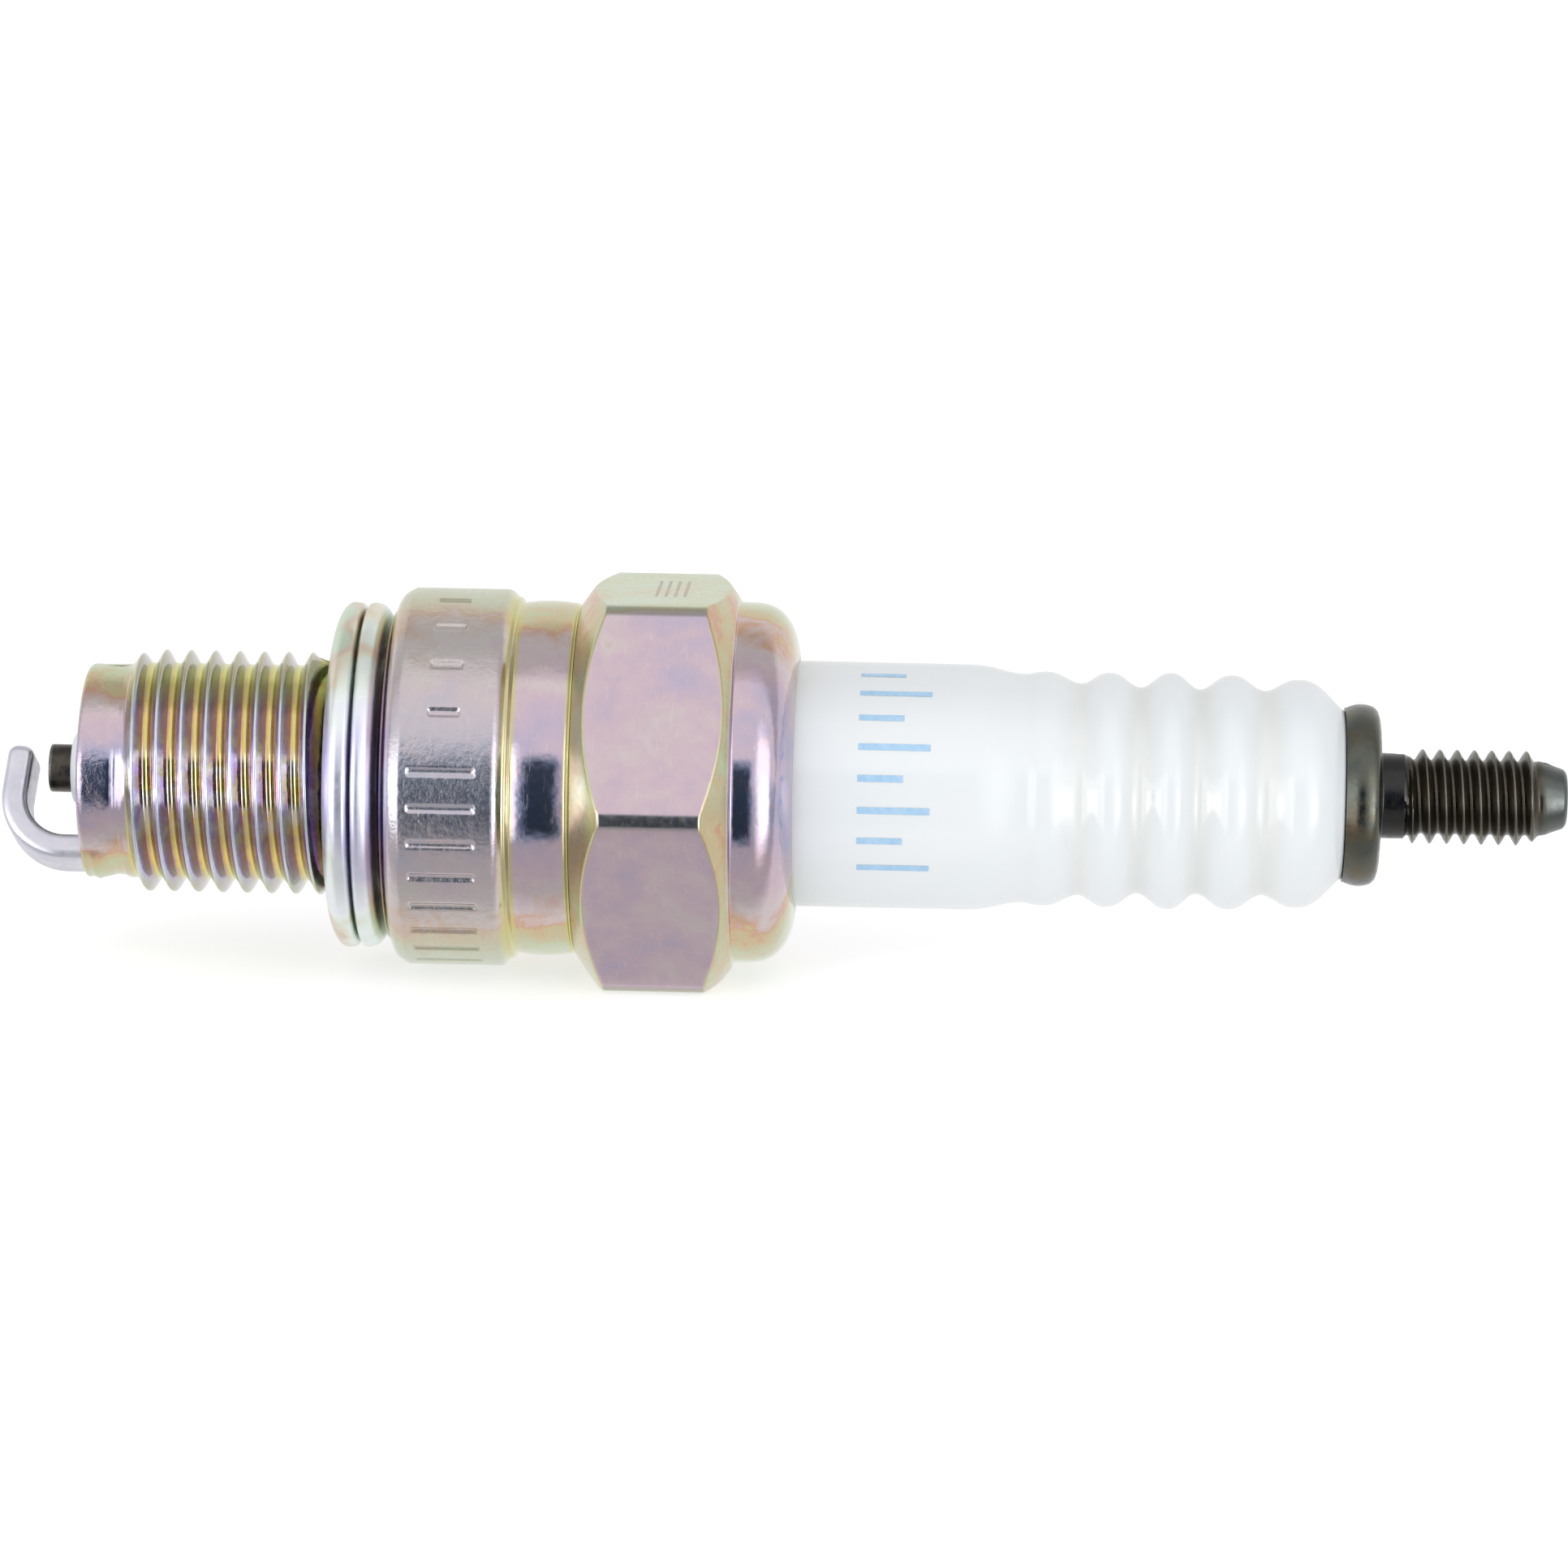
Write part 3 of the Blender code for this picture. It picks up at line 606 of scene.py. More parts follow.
def plated_steel():
    """Zinc plate under a slight passivation film with painted sheen and highlights, dark grain and a few
    fine scratches.
    """
    bright = (0.74, 0.70, 0.62)
    grey = (0.57, 0.59, 0.55)
    dark_grey = (0.33, 0.34, 0.29)
    brown = (0.30, 0.20, 0.11)
    s = Shader("plated_steel", 1.0, 0.2)
    s.measure()
    flange = s.between(s.station, 0.2, 0.6, 4.6, 4.95)
    flats = s.between(s.station, 7.6, 7.7, 13.95, 14.05)
    pilot = s.span(s.station, -11.15, -11.4)
    corners = s.times(s.span(s.radius, 8.92, 8.97), flats)
    scratches = s.span(s.noise(1.3, 3.0, 0.55, (4.0, 0.6, 0.6), 2.0), 0.60, 0.66)
    marks = plate_marks(s)
    tint = s.over(plate_tint(s), scratches, 0.16, bright)
    tint = s.over(tint, flange, 0.38, grey)
    tint = s.over(tint, corners, 0.6, dark_grey)
    s.colour(s.over(tint, marks, 0.75, brown))
    grains = s.noise(4.2, 5.0, 0.66)
    satin = s.plus(s.times(flats, 0.13), s.times(flange, 0.12))
    satin = s.plus(satin, s.times(pilot, 0.04))
    s.roughness(s.plus(s.span(grains, 0.3, 0.75, 0.06, 0.15), satin))
    relief = s.minus(plate_relief(s, grains, flange, flats, pilot), s.times(scratches, 0.04))
    s.bump(s.minus(relief, s.times(marks, 2.0)), 0.5, 0.022)
    return s.material


def gasket_steel():
    """Bright plate on the folded washer: silvery, from lilac to green, with a warm flush in places and a
    painted sheen that leans to green at the top and bottom.
    """
    s = Shader("gasket_steel", 1.0, 0.2)
    s.measure()
    # painted sheen: the tint moves up the ramp, towards green, at the top and bottom and down, towards
    # lilac, at the front and back
    slant_sheen = s.math("COSINE", s.times(s.angle, 2.0))
    film = s.plus(s.noise(0.3, 2.0, 0.5, distortion=0.4), s.times(slant_sheen, 0.14))
    lengthwise = s.span(s.station, GASKET_LOW + 0.5, GASKET_HIGH - 0.3, 0.14, -0.04)
    s.colour(s.ramp(s.plus(film, lengthwise), *GASKET_COLOURS))
    s.roughness(s.span(s.noise(3.0, 4.0), 0.3, 0.75, 0.32, 0.42))
    s.bump(s.noise(4.0, 3.0, 0.6, (1.0, 0.4, 0.4)), 0.1, 0.01)
    return s.material


def glazed_ceramic():
    """White glaze over alumina, with painted shade, warmer and a little darker, between the ribs, and a
    slightly uneven gloss.
    """
    warm = (0.675, 0.69, 0.665)
    s = Shader("glazed_ceramic", 0.0, 0.12, Specular_IOR_Level=0.55, IOR=1.5)
    s.measure()
    white = s.ramp(s.noise(0.12, 3.0, 0.5), (0.3, (0.680, 0.712, 0.738)), (0.7, (0.702, 0.727, 0.742)))
    # painted shade: a warmer, slightly darker colour in the valleys between the ribs
    valley_shade = s.times(s.span(s.radius, 4.62, 4.25), s.between(s.station, 26.0, 27.0, 36.4, 37.0))
    s.colour(s.over(white, valley_shade, 0.7, warm))
    s.roughness(s.span(s.noise(1.2, 4.0), 0.3, 0.7, 0.05, 0.10))
    s.bump(s.noise(0.7, 3.0, 0.5), 0.2, 0.02)
    return s.material


def printed_ink():
    """Pale blue ink, slightly worn."""
    s = Shader("printed_ink", 0.0, 0.3)
    s.colour(s.ramp(s.noise(2.5, 4.0), (0.32, (0.31, 0.50, 0.70)), (0.66, (0.38, 0.56, 0.74))))
    s.roughness(s.span(s.noise(4.0, 3.0), 0.3, 0.7, 0.22, 0.36))
    s.bump(s.noise(6.0, 3.0), 0.2, 0.005)
    return s.material


def stud_steel():
    """Dark gunmetal oxide with brown stains, a blue-black shank, painted shade in the thread's roots and a
    painted highlight along its crests.
    """
    blue_black = (0.035, 0.033, 0.038)
    slate = (0.13, 0.15, 0.15)
    root_shade = (0.085, 0.07, 0.055)
    worn = (0.17, 0.15, 0.125)
    s = Shader("stud_steel", 1.0, 0.3)
    s.measure()
    tint = s.ramp(s.noise(0.55, 5.0, 0.65, distortion=0.8), *PATINA_COLOURS)
    tint = s.over(tint, s.between(s.station, 40.1, 40.3, 41.1, 41.5), 0.85, blue_black)
    tint = s.over(tint, s.span(s.station, 46.6, 47.0), 0.6, slate)
    threaded = s.between(s.station, 41.1, 41.4, 46.5, 46.8)
    # painted shade: darker brown in the thread's roots
    tint = s.over(tint, s.times(s.span(s.radius, 1.84, 1.66), threaded), 0.8, root_shade)
    # painted highlight: a paler tan along the thread's crests
    s.colour(s.over(tint, s.times(s.span(s.radius, 1.84, 1.91), threaded), 0.75, worn))
    s.roughness(s.span(s.noise(3.5, 4.0), 0.3, 0.7, 0.20, 0.34))
    s.bump(s.noise(6.0, 4.0), 0.4, 0.015)
    return s.material


def electrode_nickel():
    """Dark nickel alloy with fine turning marks and a painted highlight, paler, on the rim at the tip."""
    pale = (0.30, 0.32, 0.32)
    s = Shader("electrode_nickel", 1.0, 0.3)
    s.measure()
    base = s.ramp(s.noise(1.5, 4.0), (0.3, (0.045, 0.042, 0.040)), (0.7, (0.10, 0.085, 0.07)))
    # painted highlight: a paler rim at the tip
    s.colour(s.over(base, s.span(s.station, TIP + 0.16, TIP + 0.06), 0.5, pale))
    s.roughness(s.span(s.noise(5.0, 3.0), 0.3, 0.7, 0.22, 0.38))
    s.bump(s.noise(9.0, 3.0, 0.5, (2.0, 0.3, 0.3)), 0.35, 0.01)
    return s.material


def strap_nickel():
    """Satin nickel strap, pale lavender, with a greyer scale in places."""
    s = Shader("strap_nickel", 1.0, 0.28)
    scale = s.noise(0.8, 4.0, 0.6, distortion=0.5)
    s.colour(s.ramp(scale, *STRAP_COLOURS))
    s.roughness(s.span(s.noise(3.5, 4.0), 0.3, 0.7, 0.30, 0.42))
    s.bump(s.noise(3.0, 4.0), 0.15, 0.012)
    return s.material


def plain_inner(name, colour, metallic, rough):
    """A finish for a piece inside the plug: mottled, with fine grain."""
    s = Shader(name, metallic, rough)
    darker = tuple(0.75 * part for part in colour)
    s.colour(s.ramp(s.noise(2.0, 4.0), (0.3, darker), (0.7, colour)))
    s.roughness(s.span(s.noise(4.0, 3.0), 0.3, 0.7, 0.8 * rough, min(1.0, 1.2 * rough)))
    s.bump(s.noise(8.0, 3.0), 0.4, 0.02)
    return s.material


# ---------------------------------------------------------------- shell

# the higher the number, the sharper the edge
HEX_SOFTNESS = 170.0
CHAMFER_SOFTNESS = 220.0

# degrees between points near a corner, steps on each side of it, and steps from there to the next
CORNER_STEP = 0.22
CORNER_STEPS = 14
FLAT_STEPS = 40

# first and last angle in degrees, count, low and high station, half width in degrees
STAMPED_TICKS = (
    (11.7, 59.9, 4, 2.0, 3.25, 1.15),
    (78.0, 155.0, 8, 1.25, 3.9, 1.0),
)
STAMP_DEPTH = 0.09


def hex_outline(angle):
    """Radius of the hexagon's soft-edged outline, with its narrow corner flats."""
    total = 0.0
    for side in range(6):
        for turn, reach in ((60.0 * side, HEX_HALF), (60.0 * side + 30.0, HEX_CORNER)):
            facing = cos(angle - radians(turn))
            if facing > 0.4:
                total += (facing / reach) ** HEX_SOFTNESS
    return total ** (-1.0 / HEX_SOFTNESS)


def hex_angles():
    """Angles round the hexagon, close together near its corners."""
    near = CORNER_STEP * CORNER_STEPS
    angles = []
    for side in range(6):
        corner = radians(60.0 * side + 30.0)
        for step in range(-CORNER_STEPS, CORNER_STEPS + 1):
            angles.append(corner + radians(CORNER_STEP * step))
        for step in range(1, FLAT_STEPS):
            angles.append(corner + radians(near + (60.0 - 2.0 * near) * step / FLAT_STEPS))
    return angles


def soft_least(a, b):
    """The lesser of two radii, with a soft edge where they meet."""
    return (a ** -CHAMFER_SOFTNESS + b ** -CHAMFER_SOFTNESS) ** (-1.0 / CHAMFER_SOFTNESS)


def weld_flash(station, angle):
    """Height of the two beads of weld beside the strap's root."""
    away = (angle - STRAP_TURN) / 0.40
    if abs(away) > 1.0:
        return 0.0
    side = (1.0 - away * away) ** 0.7
    first = max(0.0, 1.0 - abs(station - SHELL_LOW - 0.12) / 0.26)
    second = max(0.0, 1.0 - abs(station - SHELL_LOW - 0.58) / 0.34)
    return side * max(0.16 * first ** 0.6, 0.22 * second ** 0.6)


def shell_nose(skin):
    """Bore mouth, end face, pilot and thread, up to the seat."""
    angles = even_angles(224)
    minor = PLUG_THREAD["minor"]
    front = rounded([(-6.4, BORE_RADIUS, 0), (SHELL_LOW, BORE_RADIUS, 0.14), (SHELL_LOW, PILOT_RADIUS, 0.28),
                     (PILOT_BACK, PILOT_RADIUS - 0.02, 0)], 7)
    back = rounded([(THREAD_BACK, minor, 0), (-2.18, 4.2, 0.08), (-0.1, 4.2, 0.1), (0.0, 4.4, 0),
                    (0.0, 5.2, 0)], 3)
    rings = []
    for station, radius in split_runs(front, 0.09):
        outside = 1.0 if radius > PILOT_RADIUS - 0.3 else 0.0

        def radius_at(angle, station=station, radius=radius, outside=outside):
            return radius + outside * weld_flash(station, angle)

        rings.append(skin.ring(angles, station, radius_at))
    skin.loft(rings)
    high, _ = skin.sleeve(angles, back)
    core = ((PILOT_BACK, PILOT_RADIUS - 0.02), (-11.15, PILOT_RADIUS - 0.035),
            (-10.85, PILOT_RADIUS - 0.01), (-10.5, minor), (THREAD_BACK, minor))
    rows = thread_rows(PLUG_THREAD, -0.38, core, (-10.95, -10.05), (-2.75, THREAD_BACK))
    skin.thread(angles, rings[-1], high, rows, PLUG_THREAD["pitch"])


def stamp_depth(angle, station):
    """How deep the plain stamped ticks on the flange are at a point."""
    depth = 0.0
    for first, last, count, low, high, half_width in STAMPED_TICKS:
        if not low - 0.15 < station < high + 0.15:
            continue
        for step in range(count):
            centre = radians(first + (last - first) * step / (count - 1))
            away = abs((angle - centre + pi) % TURN - pi)
            across = 1.0 - smooth_step(away, radians(half_width) - 0.008, radians(half_width) + 0.008)
            along = smooth_step(station, low - 0.05, low + 0.05)
            along *= 1.0 - smooth_step(station, high - 0.05, high + 0.05)
            depth = max(depth, STAMP_DEPTH * across * along)
    return depth


def shell_flange(skin):
    """Seat flange with its stamped ticks, and the buckled neck."""
    angles = even_angles(720)
    face = rounded([(0.0, 4.9, 0), (0.0, 6.70, 0.1), (0.12, 6.84, 0.12), (0.35, 7.42, 0.35),
                    (0.85, FLANGE_RADIUS, 0.35), (1.0, FLANGE_RADIUS, 0)], 5)
    _, low = skin.sleeve(angles, face)
    rings = [low]
    for step in range(1, 54):
        station = 1.0 + 0.06 * step
        rings.append(skin.ring(angles, station, lambda a, x=station: FLANGE_RADIUS - stamp_depth(a, x)))
    skin.loft(rings)
    rest = rounded([(4.24, FLANGE_RADIUS, 0), (4.72, FLANGE_RADIUS, 0.28), (5.0, 7.40, 0.06),
                    (5.13, 7.38, 0.05), (5.26, 7.17, 0.04), (5.34, 7.18, 0.08), (5.50, 7.208, 0)], 4)
    neck = [(5.5 + 0.1 * step, 7.262 - (0.1 * step - 0.84) ** 2 / 13.0) for step in range(21)]
    groove = rounded([(7.5, 7.158, 0), (7.56, 7.10, 0.03), (7.62, 7.12, 0.03), (7.66, 6.9, 0)], 3)
    first, _ = skin.sleeve(angles, rest + neck[1:] + groove[1:])
    skin.bridge(rings[-1], first)


def chamfer_radius(station):
    """Radius of the narrower of the cones at the hexagon's two ends."""
    low = HEX_LOW_RADIUS + (station - HEX_LOW) * CHAMFER_SLOPE
    high = HEX_HIGH_RADIUS + (HEX_HIGH - station) * CHAMFER_SLOPE
    return soft_least(low, high)


def collar_outline():
    """The collar behind the hexagon, its roll over the insulator, and its lip."""
    collar = rounded([(14.06, 7.5, 0), (14.10, 7.38, 0.05), (COLLAR_START, COLLAR_RADIUS, 0)], 4)
    roll = []
    for step in range(1, 33):
        along = sin(0.5 * pi * step / 34)
        station = COLLAR_START + (SHELL_HIGH - COLLAR_START) * along
        roll.append((station, LIP_RADIUS + (COLLAR_RADIUS - LIP_RADIUS) * (1.0 - along ** 3.2) ** 0.54))
    lip = rounded([roll[-1] + (0,), (SHELL_HIGH, 5.3, 0.05), (SHELL_HIGH - 0.1, 5.12, 0.06),
                   (15.7, 5.11, 0)], 3)
    return collar + roll[:-1] + lip


def shell_hexagon(skin):
    """The hexagon with its chamfered ends, and the crimped collar behind it."""
    angles = hex_angles()
    outline = {angle: hex_outline(angle) for angle in angles}
    stations = [HEX_LOW + 0.035 * step for step in range(62)]
    stations += [9.9 + 0.4 * step for step in range(8)]
    stations += [12.75 + 0.035 * step for step in range(36)]
    rings = [skin.ring(angles, HEX_LOW - 0.01, 6.9)]
    for station in stations:
        cone = chamfer_radius(station)
        rings.append(skin.ring(angles, station, lambda a, cone=cone: soft_least(outline[a], cone)))
    skin.loft(rings)
    start, _ = skin.sleeve(angles, collar_outline())
    skin.bridge(rings[-1], start)


def build_shell(material):
    """The whole shell as one object: nose, flange, hexagon and collar."""
    skin = Skin()
    shell_nose(skin)
    shell_flange(skin)
    shell_hexagon(skin)
    shell = skin.build("shell_surface", material, 40.0)
    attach(shell, "plug")
    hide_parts("metal_shell")


# ---------------------------------------------------------------- other pieces

# station and radius of the barrel's end, then of the ribs' valleys and crests in turn
RIBS = ((23.4, 5.0), (25.7, 4.665), (26.55, 4.77), (28.0, 4.32), (29.15, 4.775), (30.4, 4.205),
        (31.65, 4.81), (32.8, 4.17), (34.1, 4.765), (35.45, 4.165), (36.8, 4.64))


def build_insulator(material):
    """Nose, seat, barrel, five ribs and the rounded end under the stud's collar."""
    skin = Skin()
    angles = even_angles(192)
    nose = rounded([(-12.0, 1.04, 0), (INSULATOR_LOW, 1.04, 0.05), (INSULATOR_LOW, 1.35, 0.25),
                    (INSULATOR_LOW + 0.42, 1.76, 0.35), (-5.6, 2.55, 0.1), (-4.7, 3.30, 0.1),
                    (3.0, 3.30, 0.2), (6.7, 5.85, 0.3), (10.2, 5.85, 0.3), (11.0, BARREL_RADIUS, 0.3),
                    (14.0, BARREL_RADIUS, 0)], 4)
    barrel = [(14.0, BARREL_RADIUS), (18.0, BARREL_RADIUS - 0.005), (23.0, BARREL_RADIUS - 0.015)]
    ribs = eased([(23.0, BARREL_RADIUS - 0.015)] + list(RIBS), 12)
    end = eased([RIBS[-1], (39.4, 3.0)], 24)
    end = [point for point in end if point[0] < 38.55]
    top = rounded([end[-1] + (0,), (INSULATOR_HIGH, 3.42, 0.1), (INSULATOR_HIGH, 1.8, 0.05),
                   (38.0, 1.74, 0)], 3)
    skin.sleeve(angles, split_runs(nose + barrel[1:] + ribs[1:] + end[1:] + top[1:], 0.8))
    obj = skin.build("insulator_surface", material, 40.0)
    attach(obj, "plug")
    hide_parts("insulator")


def build_stud(material):
    """Collar, shank, thread and blunt point, with a plain foot in the insulator's bore."""
    skin = Skin()
    angles = even_angles(128)
    minor = STUD_THREAD["minor"]
    foot = 36.0
    crown = [(38.74 + 0.1 * step, 3.70 - (0.1 * step - 0.62) ** 2 / 2.4) for step in range(12)]
    back = rounded([(foot, 1.66, 0), (38.70, 1.66, 0.02), (38.70, 3.56, 0.05), crown[0] + (0,)], 4)
    front = rounded([crown[-1] + (0,), (40.02, 3.46, 0.10), (40.14, 3.10, 0.16), (40.15, 2.4, 0.12),
                     (40.15, 1.86, 0.06), (40.24, SHANK_RADIUS, 0.06), (40.5, SHANK_RADIUS, 0)], 5)
    point = rounded([(47.45, 1.262, 0), (47.62, 1.20, 0.08), (STUD_POINT, 1.03, 0.06),
                     (STUD_POINT, 0.6, 0)], 4)
    foot_ring, shank_ring = skin.sleeve(angles, back + crown[1:-1] + front)
    cone_ring, point_ring = skin.sleeve(angles, point)
    core = ((40.5, SHANK_RADIUS), (41.15, SHANK_RADIUS), (41.35, minor), (46.72, minor), (46.92, 1.465),
            (47.2, 1.335), (47.45, 1.262))
    rows = thread_rows(STUD_THREAD, 41.91, core, (41.2, 41.5), (46.15, 46.75))
    skin.thread(angles, shank_ring, cone_ring, rows, STUD_THREAD["pitch"])
    skin.cap(point_ring, STUD_POINT, True)
    skin.cap(foot_ring, foot, False)
    obj = skin.build("stud_surface", material, 40.0)
    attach(obj, "plug")
    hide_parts("terminal_stud")


def build_centre_electrode(material):
    """A plain pin with a softly rounded edge at the spark gap."""
    skin = Skin()
    angles = even_angles(96)
    back = -2.2
    outline = rounded([(TIP, 0.3, 0), (TIP, 0.98, 0.07), (back, 0.98, 0)], 4)
    first, last = skin.sleeve(angles, split_runs(outline, 0.8))
    skin.cap(first, TIP, False)
    skin.cap(last, back, True)
    obj = skin.build("centre_electrode_surface", material, 40.0)
    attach(obj, "plug")
    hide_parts("centre_electrode")


def gasket_outline():
    """Cross-section of the folded washer: front fold, outer seam, back and retaining lip."""
    outer = GASKET_RADIUS
    inner = 5.15
    lip = 4.75
    seam = -1.19
    front = GASKET_LOW + 0.36
    fold_centre = 5.50
    fold = []
    for step in range(15):
        turn = 0.5 * pi * step / 14
        radius = fold_centre + (outer - fold_centre) * sin(turn)
        fold.append((front + 0.68 * (1.0 - cos(turn)), radius))
    rest = rounded([fold[-1] + (0,), (seam - 0.16, outer - 0.03, 0.1), (seam - 0.06, outer - 0.22, 0.06),
                    (seam, outer - 0.75, 0.02), (seam + 0.06, outer - 0.22, 0.06),
                    (seam + 0.16, outer - 0.03, 0.12), (-0.86, outer, 0.30), (-0.50, outer - 0.08, 0.22),
                    (-0.24, outer - 0.42, 0.25), (GASKET_HIGH, outer - 1.05, 0.2), (GASKET_HIGH, 5.3, 0.08),
                    (GASKET_HIGH - 0.12, inner, 0.05), (-1.22, inner, 0.05), (-1.35, lip, 0.05),
                    (-1.65, lip, 0.05), (-1.77, inner, 0.05), (front + 0.13, inner, 0.06),
                    (front, 5.27, 0.06), fold[0] + (0,)], 4)
    return fold + rest[1:-1]


def build_gasket(material):
    """The folded crush washer, the one piece that moves."""
    skin = Skin()
    start, last = skin.sleeve(even_angles(256), gasket_outline())
    skin.bridge(last, start)
    obj = skin.build("gasket_surface", material, 40.0)
    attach(obj, "gasket")
    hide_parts("gasket")


# the strap's section and its edge rounding, its leg's distance from the axis, its end's rounding
STRAP_DEPTH = 1.05
STRAP_WIDTH = 2.50
STRAP_EDGE = 0.34
STRAP_LEG = 3.60
STRAP_END = 0.42


def strap_section():
    """The strap's cross-section, a rounded rectangle, as (across, through) pairs."""
    points = []
    for sx, sy, start in ((1, 1, 0), (-1, 1, 90), (-1, -1, 180), (1, -1, 270)):
        for step in range(9):
            turn = radians(start + 90.0 * step / 8)
            across = sx * (STRAP_WIDTH / 2 - STRAP_EDGE) + STRAP_EDGE * cos(turn)
            through = sy * (STRAP_DEPTH / 2 - STRAP_EDGE) + STRAP_EDGE * sin(turn)
            points.append((across, through))
    return points


def strap_path():
    """The strap's middle line from its root to its free end, as (station, radius, heading, inset).

    The inset is how much the section shrinks, which rounds the free end.
    """
    bend_start = SHELL_LOW - 0.75
    bend = bend_start - STRAP_LOW - STRAP_DEPTH / 2
    full_turn = radians(95.5)
    path = [(SHELL_LOW + 0.02, STRAP_LEG, 0.0, 0.0), (SHELL_LOW - 0.1, STRAP_LEG, 0.0, 0.0)]
    for step in range(29):
        turn = full_turn * step / 28
        path.append((bend_start - bend * sin(turn), STRAP_LEG - bend * (1.0 - cos(turn)), turn, 0.0))
    station, radius, turn, _ = path[-1]
    straight = (radius + 0.66) / sin(turn) - STRAP_END
    for step in range(1, 9):
        along = straight * step / 8
        path.append((station - along * cos(turn), radius - along * sin(turn), turn, 0.0))
    for step in range(1, 8):
        roll = 0.5 * pi * step / 7
        along = straight + STRAP_END * sin(roll)
        inset = STRAP_END * (1.0 - cos(roll))
        path.append((station - along * cos(turn), radius - along * sin(turn), turn, inset))
    return path


def build_strap(material):
    """The bent ground electrode."""
    skin = Skin()
    place = Matrix.Rotation(STRAP_TURN, 3, "X")
    section = strap_section()
    rings = []
    for station, radius, heading, inset in strap_path():
        start = len(skin.verts)
        for across, through in section:
            lift = through * (1.0 - inset / (STRAP_DEPTH / 2))
            side = across * (1.0 - inset / (STRAP_WIDTH / 2))
            point = place @ Vector((station - lift * sin(heading), side, radius + lift * cos(heading)))
            skin.verts.append(tuple(point * MM))
        rings.append(list(range(start, start + len(section))))
    for first, second in zip(rings, rings[1:]):
        skin.bridge(second, first)
    skin.faces.append(rings[0][::-1])
    skin.faces.append(rings[-1])
    obj = skin.build("strap_surface", material, 50.0)
    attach(obj, "plug")
    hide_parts("ground_electrode")


# the printed bars: their start, the ends of the short and long ones, and their angles in degrees
BAR_LOW = 19.08
BAR_HIGHS = (20.9, 21.98)
BAR_COUNT = 8
BAR_FIRST = 17.0
BAR_STEP = 14.8


def build_print(material):
    """Plain printed bars round the insulator, short and long in turn, a hair above the glaze."""
    skin = Skin()
    radius = BARREL_RADIUS + 0.004
    half_width = 0.14 / radius
    for bar in range(BAR_COUNT):
        centre = radians(BAR_FIRST + BAR_STEP * bar)
        angles = [centre + half_width * (step / 3 - 1.0) for step in range(7)]
        first = skin.ring(angles, BAR_LOW, radius)
        second = skin.ring(angles, BAR_HIGHS[bar % 2], radius)
        for i in range(6):
            skin.faces.append((first[i], second[i], second[i + 1], first[i + 1]))
    obj = skin.build("print_bars", material)
    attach(obj, "plug")


def paint_inner_pieces():
    """Finishes for the CAD pieces that stay as they are."""
    finishes = {
        "copper_core": plain_inner("copper", (0.72, 0.36, 0.20), 1.0, 0.35),
        "upper_glass_seal": plain_inner("glass_seal", (0.16, 0.15, 0.15), 0.2, 0.35),
        "resistor": plain_inner("resistor", (0.07, 0.07, 0.07), 0.0, 0.75),
        "plate_packing": plain_inner("packing_steel", (0.50, 0.49, 0.47), 1.0, 0.40),
        "talc_packing": plain_inner("talc", (0.80, 0.79, 0.74), 0.0, 0.90),
    }
    finishes["lower_glass_seal"] = finishes["upper_glass_seal"]
    finishes["lower_packing_ring"] = finishes["plate_packing"]
    finishes["upper_packing_ring"] = finishes["plate_packing"]
    for node, material in finishes.items():
        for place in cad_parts[node].material_slots:
            place.material = material


# ---------------------------------------------------------------- stage, light and camera

FLOOR_HALF = 3.0
FLOOR_GAP = 0.00002
FLOOR_GLOW = 0.62


def build_floor():
    """A plain pale floor just under the hexagon's lower flat."""
    white = (1.0, 1.0, 1.0, 1.0)
    s = Shader("floor", 0.0, 0.9)
    s.main.inputs["Base Color"].default_value = (0.5, 0.5, 0.5, 1.0)
    s.main.inputs["Emission Color"].default_value = white
    s.main.inputs["Emission Strength"].default_value = FLOOR_GLOW
    level = CAD_BOX[0][2] - FLOOR_GAP
    corners = [(-FLOOR_HALF, -FLOOR_HALF, level), (FLOOR_HALF, -FLOOR_HALF, level),
               (FLOOR_HALF, FLOOR_HALF, level), (-FLOOR_HALF, FLOOR_HALF, level)]
    mesh = bpy.data.meshes.new("floor")
    mesh.from_pydata(corners, [], [(0, 1, 2, 3)])
    mesh.materials.append(s.material)
    floor = bpy.data.objects.new("floor", mesh)
    bpy.context.collection.objects.link(floor)
    floor.visible_glossy = False


# The light tent in degrees. Pitch goes round the plug's axis, 0 towards the front and 90 up. Side
# goes from -90 at the nose's end to 90 at the stud's. A patch has (low, high, softness) for each.

# brightness all round the axis: 0 to 1 stands for a pitch of -180 to 180
TENT_LEVELS = ((0.0, 0.95), (0.24, 0.95), (0.31, 0.60), (0.42, 0.58), (0.56, 1.0), (0.71, 1.0),
               (0.745, 0.62), (0.83, 0.62), (0.88, 0.92), (1.0, 0.95))

# the opening at the front, how much light it takes away and the colour of what is left
OPENING = ((-28.0, 23.0, 5.0), (-15.0, 11.5, 5.0))
OPENING_DARKNESS = 0.91
OPENING_COLOUR = (0.58, 0.92, 1.25)

# brighter patches and how much light each adds: left box, right box, left and right window
BRIGHT_PATCHES = (
    (1.3, ((-30.0, 30.0, 6.0), (-96.0, -19.0, 4.0))),
    (1.0, ((-42.0, 44.0, 14.0), (24.0, 64.0, 7.0))),
    (2.8, ((-27.0, 9.0, 7.0), (-73.0, -56.0, 4.0))),
    (2.8, ((-27.0, 9.0, 12.0), (36.0, 60.0, 9.0))),
)


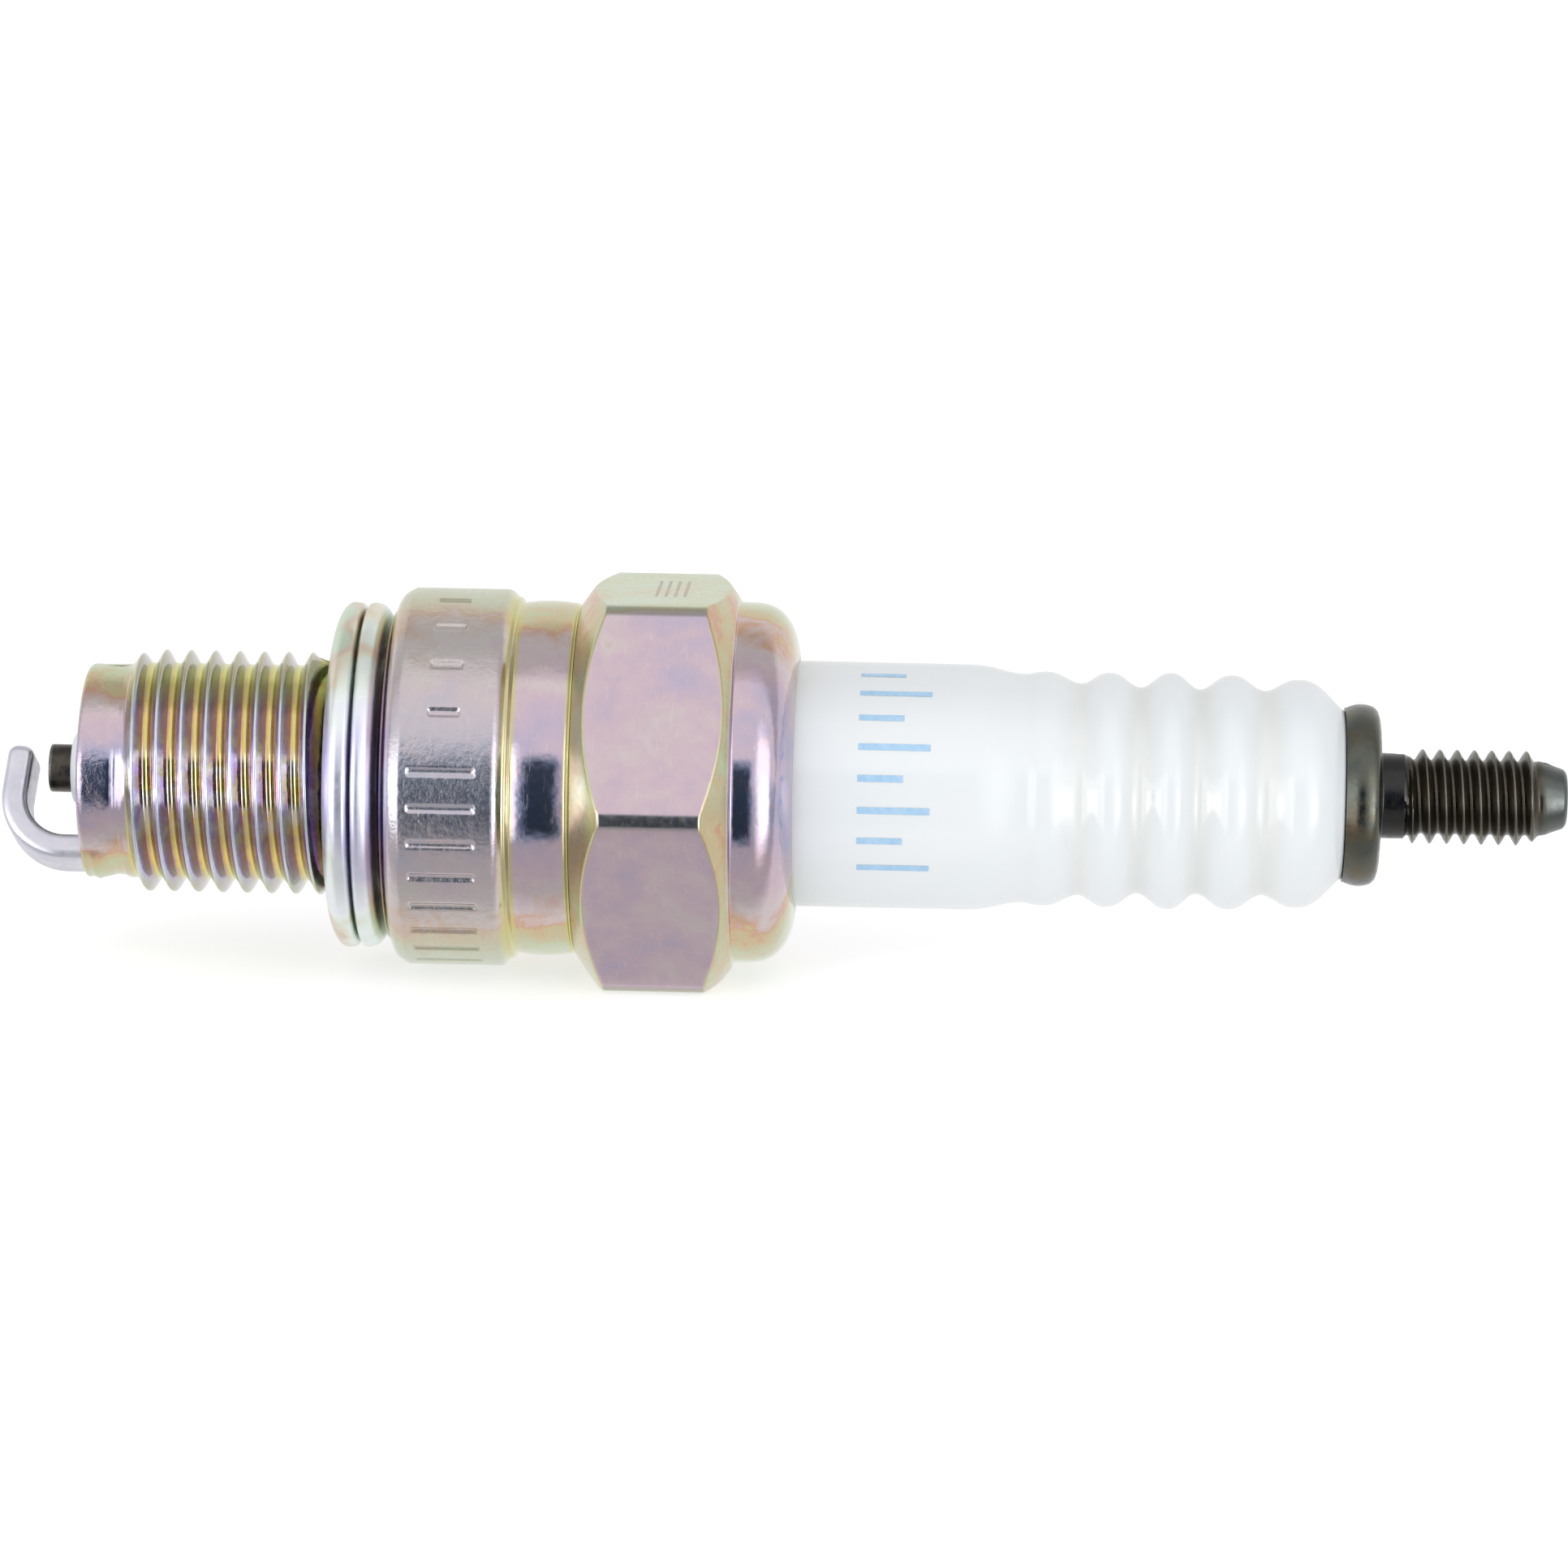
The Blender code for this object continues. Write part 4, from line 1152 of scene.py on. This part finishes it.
def tent_patch(n, pitch, side, patch):
    """1 inside a patch of the tent and 0 outside it, with a soft edge."""
    bands = []
    for value, (low, high, soft) in zip((pitch, side), patch):
        edges = (low - soft, low + soft, high - soft, high + soft)
        bands.append(n.between(value, *(radians(edge) for edge in edges)))
    return n.times(*bands)


def build_world():
    """Soft white light from all round, with the darker opening of the light tent at the front."""
    world = bpy.data.worlds.new("tent")
    bpy.context.scene.world = world
    world.use_nodes = True
    n = Nodes(world.node_tree)
    parts = n.node("ShaderNodeSeparateXYZ")
    n.put(n.node("ShaderNodeTexCoord").outputs["Generated"], parts.inputs[0])
    x, y, z = parts.outputs
    pitch = n.math("ARCTAN2", z, n.times(y, -1.0))
    side = n.math("ARCSINE", x)
    levels = [(position, (level, level, level)) for position, level in TENT_LEVELS]
    around = n.ramp(n.math("MULTIPLY_ADD", pitch, 1.0 / TURN, 0.5), *levels)
    opening = tent_patch(n, pitch, side, OPENING)
    light = n.times(around, n.math("MULTIPLY_ADD", opening, -OPENING_DARKNESS, 1.0))
    for strength, patch in BRIGHT_PATCHES:
        light = n.math("MULTIPLY_ADD", tent_patch(n, pitch, side, patch), strength, light)
    background = world.node_tree.nodes["Background"]
    n.put(n.mix(opening, (1.0, 1.0, 1.0), OPENING_COLOUR), background.inputs["Color"])
    n.put(light, background.inputs["Strength"])


FILL_WATTS = 0.60
FILL_WIDTH = 0.5
FILL_HEIGHT = 0.3
FILL_PLACE = Vector((0.03, -0.45, 0.42))


def build_front_light():
    """Broad fill from the camera's side, aimed at the origin; surfaces don't mirror it."""
    data = bpy.data.lights.new("front_fill", "AREA")
    data.shape = "RECTANGLE"
    data.size = FILL_WIDTH
    data.size_y = FILL_HEIGHT
    data.energy = FILL_WATTS
    fill = bpy.data.objects.new("front_fill", data)
    fill.location = FILL_PLACE
    fill.rotation_euler = FILL_PLACE.to_track_quat("Z", "Y").to_euler()
    fill.visible_glossy = False
    bpy.context.collection.objects.link(fill)


# azimuth, elevation and roll are in degrees, the lens and the sensor in millimetres
CAMERA_DISTANCE = 0.27
CAMERA_AZIMUTH = 2.3
CAMERA_ELEVATION = 10.9
CAMERA_ROLL = 0.76
CAMERA_AIM = Vector((0.01595, 0.0, -0.00004))
CAMERA_LENS = 151.93
CAMERA_SENSOR = 36.0


def build_camera():
    """A long lens in front of the plug and a little above it."""
    data = bpy.data.cameras.new("camera")
    data.sensor_width = CAMERA_SENSOR
    data.lens = CAMERA_LENS
    data.clip_start = 0.01
    data.clip_end = 20.0
    data.dof.use_dof = False
    turn = radians(CAMERA_AZIMUTH)
    rise = radians(CAMERA_ELEVATION)
    away = Vector((sin(turn) * cos(rise), -cos(turn) * cos(rise), sin(rise)))
    camera = bpy.data.objects.new("camera", data)
    camera.location = CAMERA_AIM + away * CAMERA_DISTANCE
    look = (-away).to_track_quat("-Z", "Y").to_matrix()
    camera.rotation_euler = (look @ Matrix.Rotation(radians(CAMERA_ROLL), 3, "Z")).to_euler()
    bpy.context.collection.objects.link(camera)
    bpy.context.scene.camera = camera


build_shell(plated_steel())
build_insulator(glazed_ceramic())
build_stud(stud_steel())
build_centre_electrode(electrode_nickel())
build_strap(strap_nickel())
build_gasket(gasket_steel())
build_print(printed_ink())
paint_inner_pieces()
build_floor()
build_world()
build_front_light()
build_camera()
bpy.context.scene.view_settings.view_transform = "Standard"
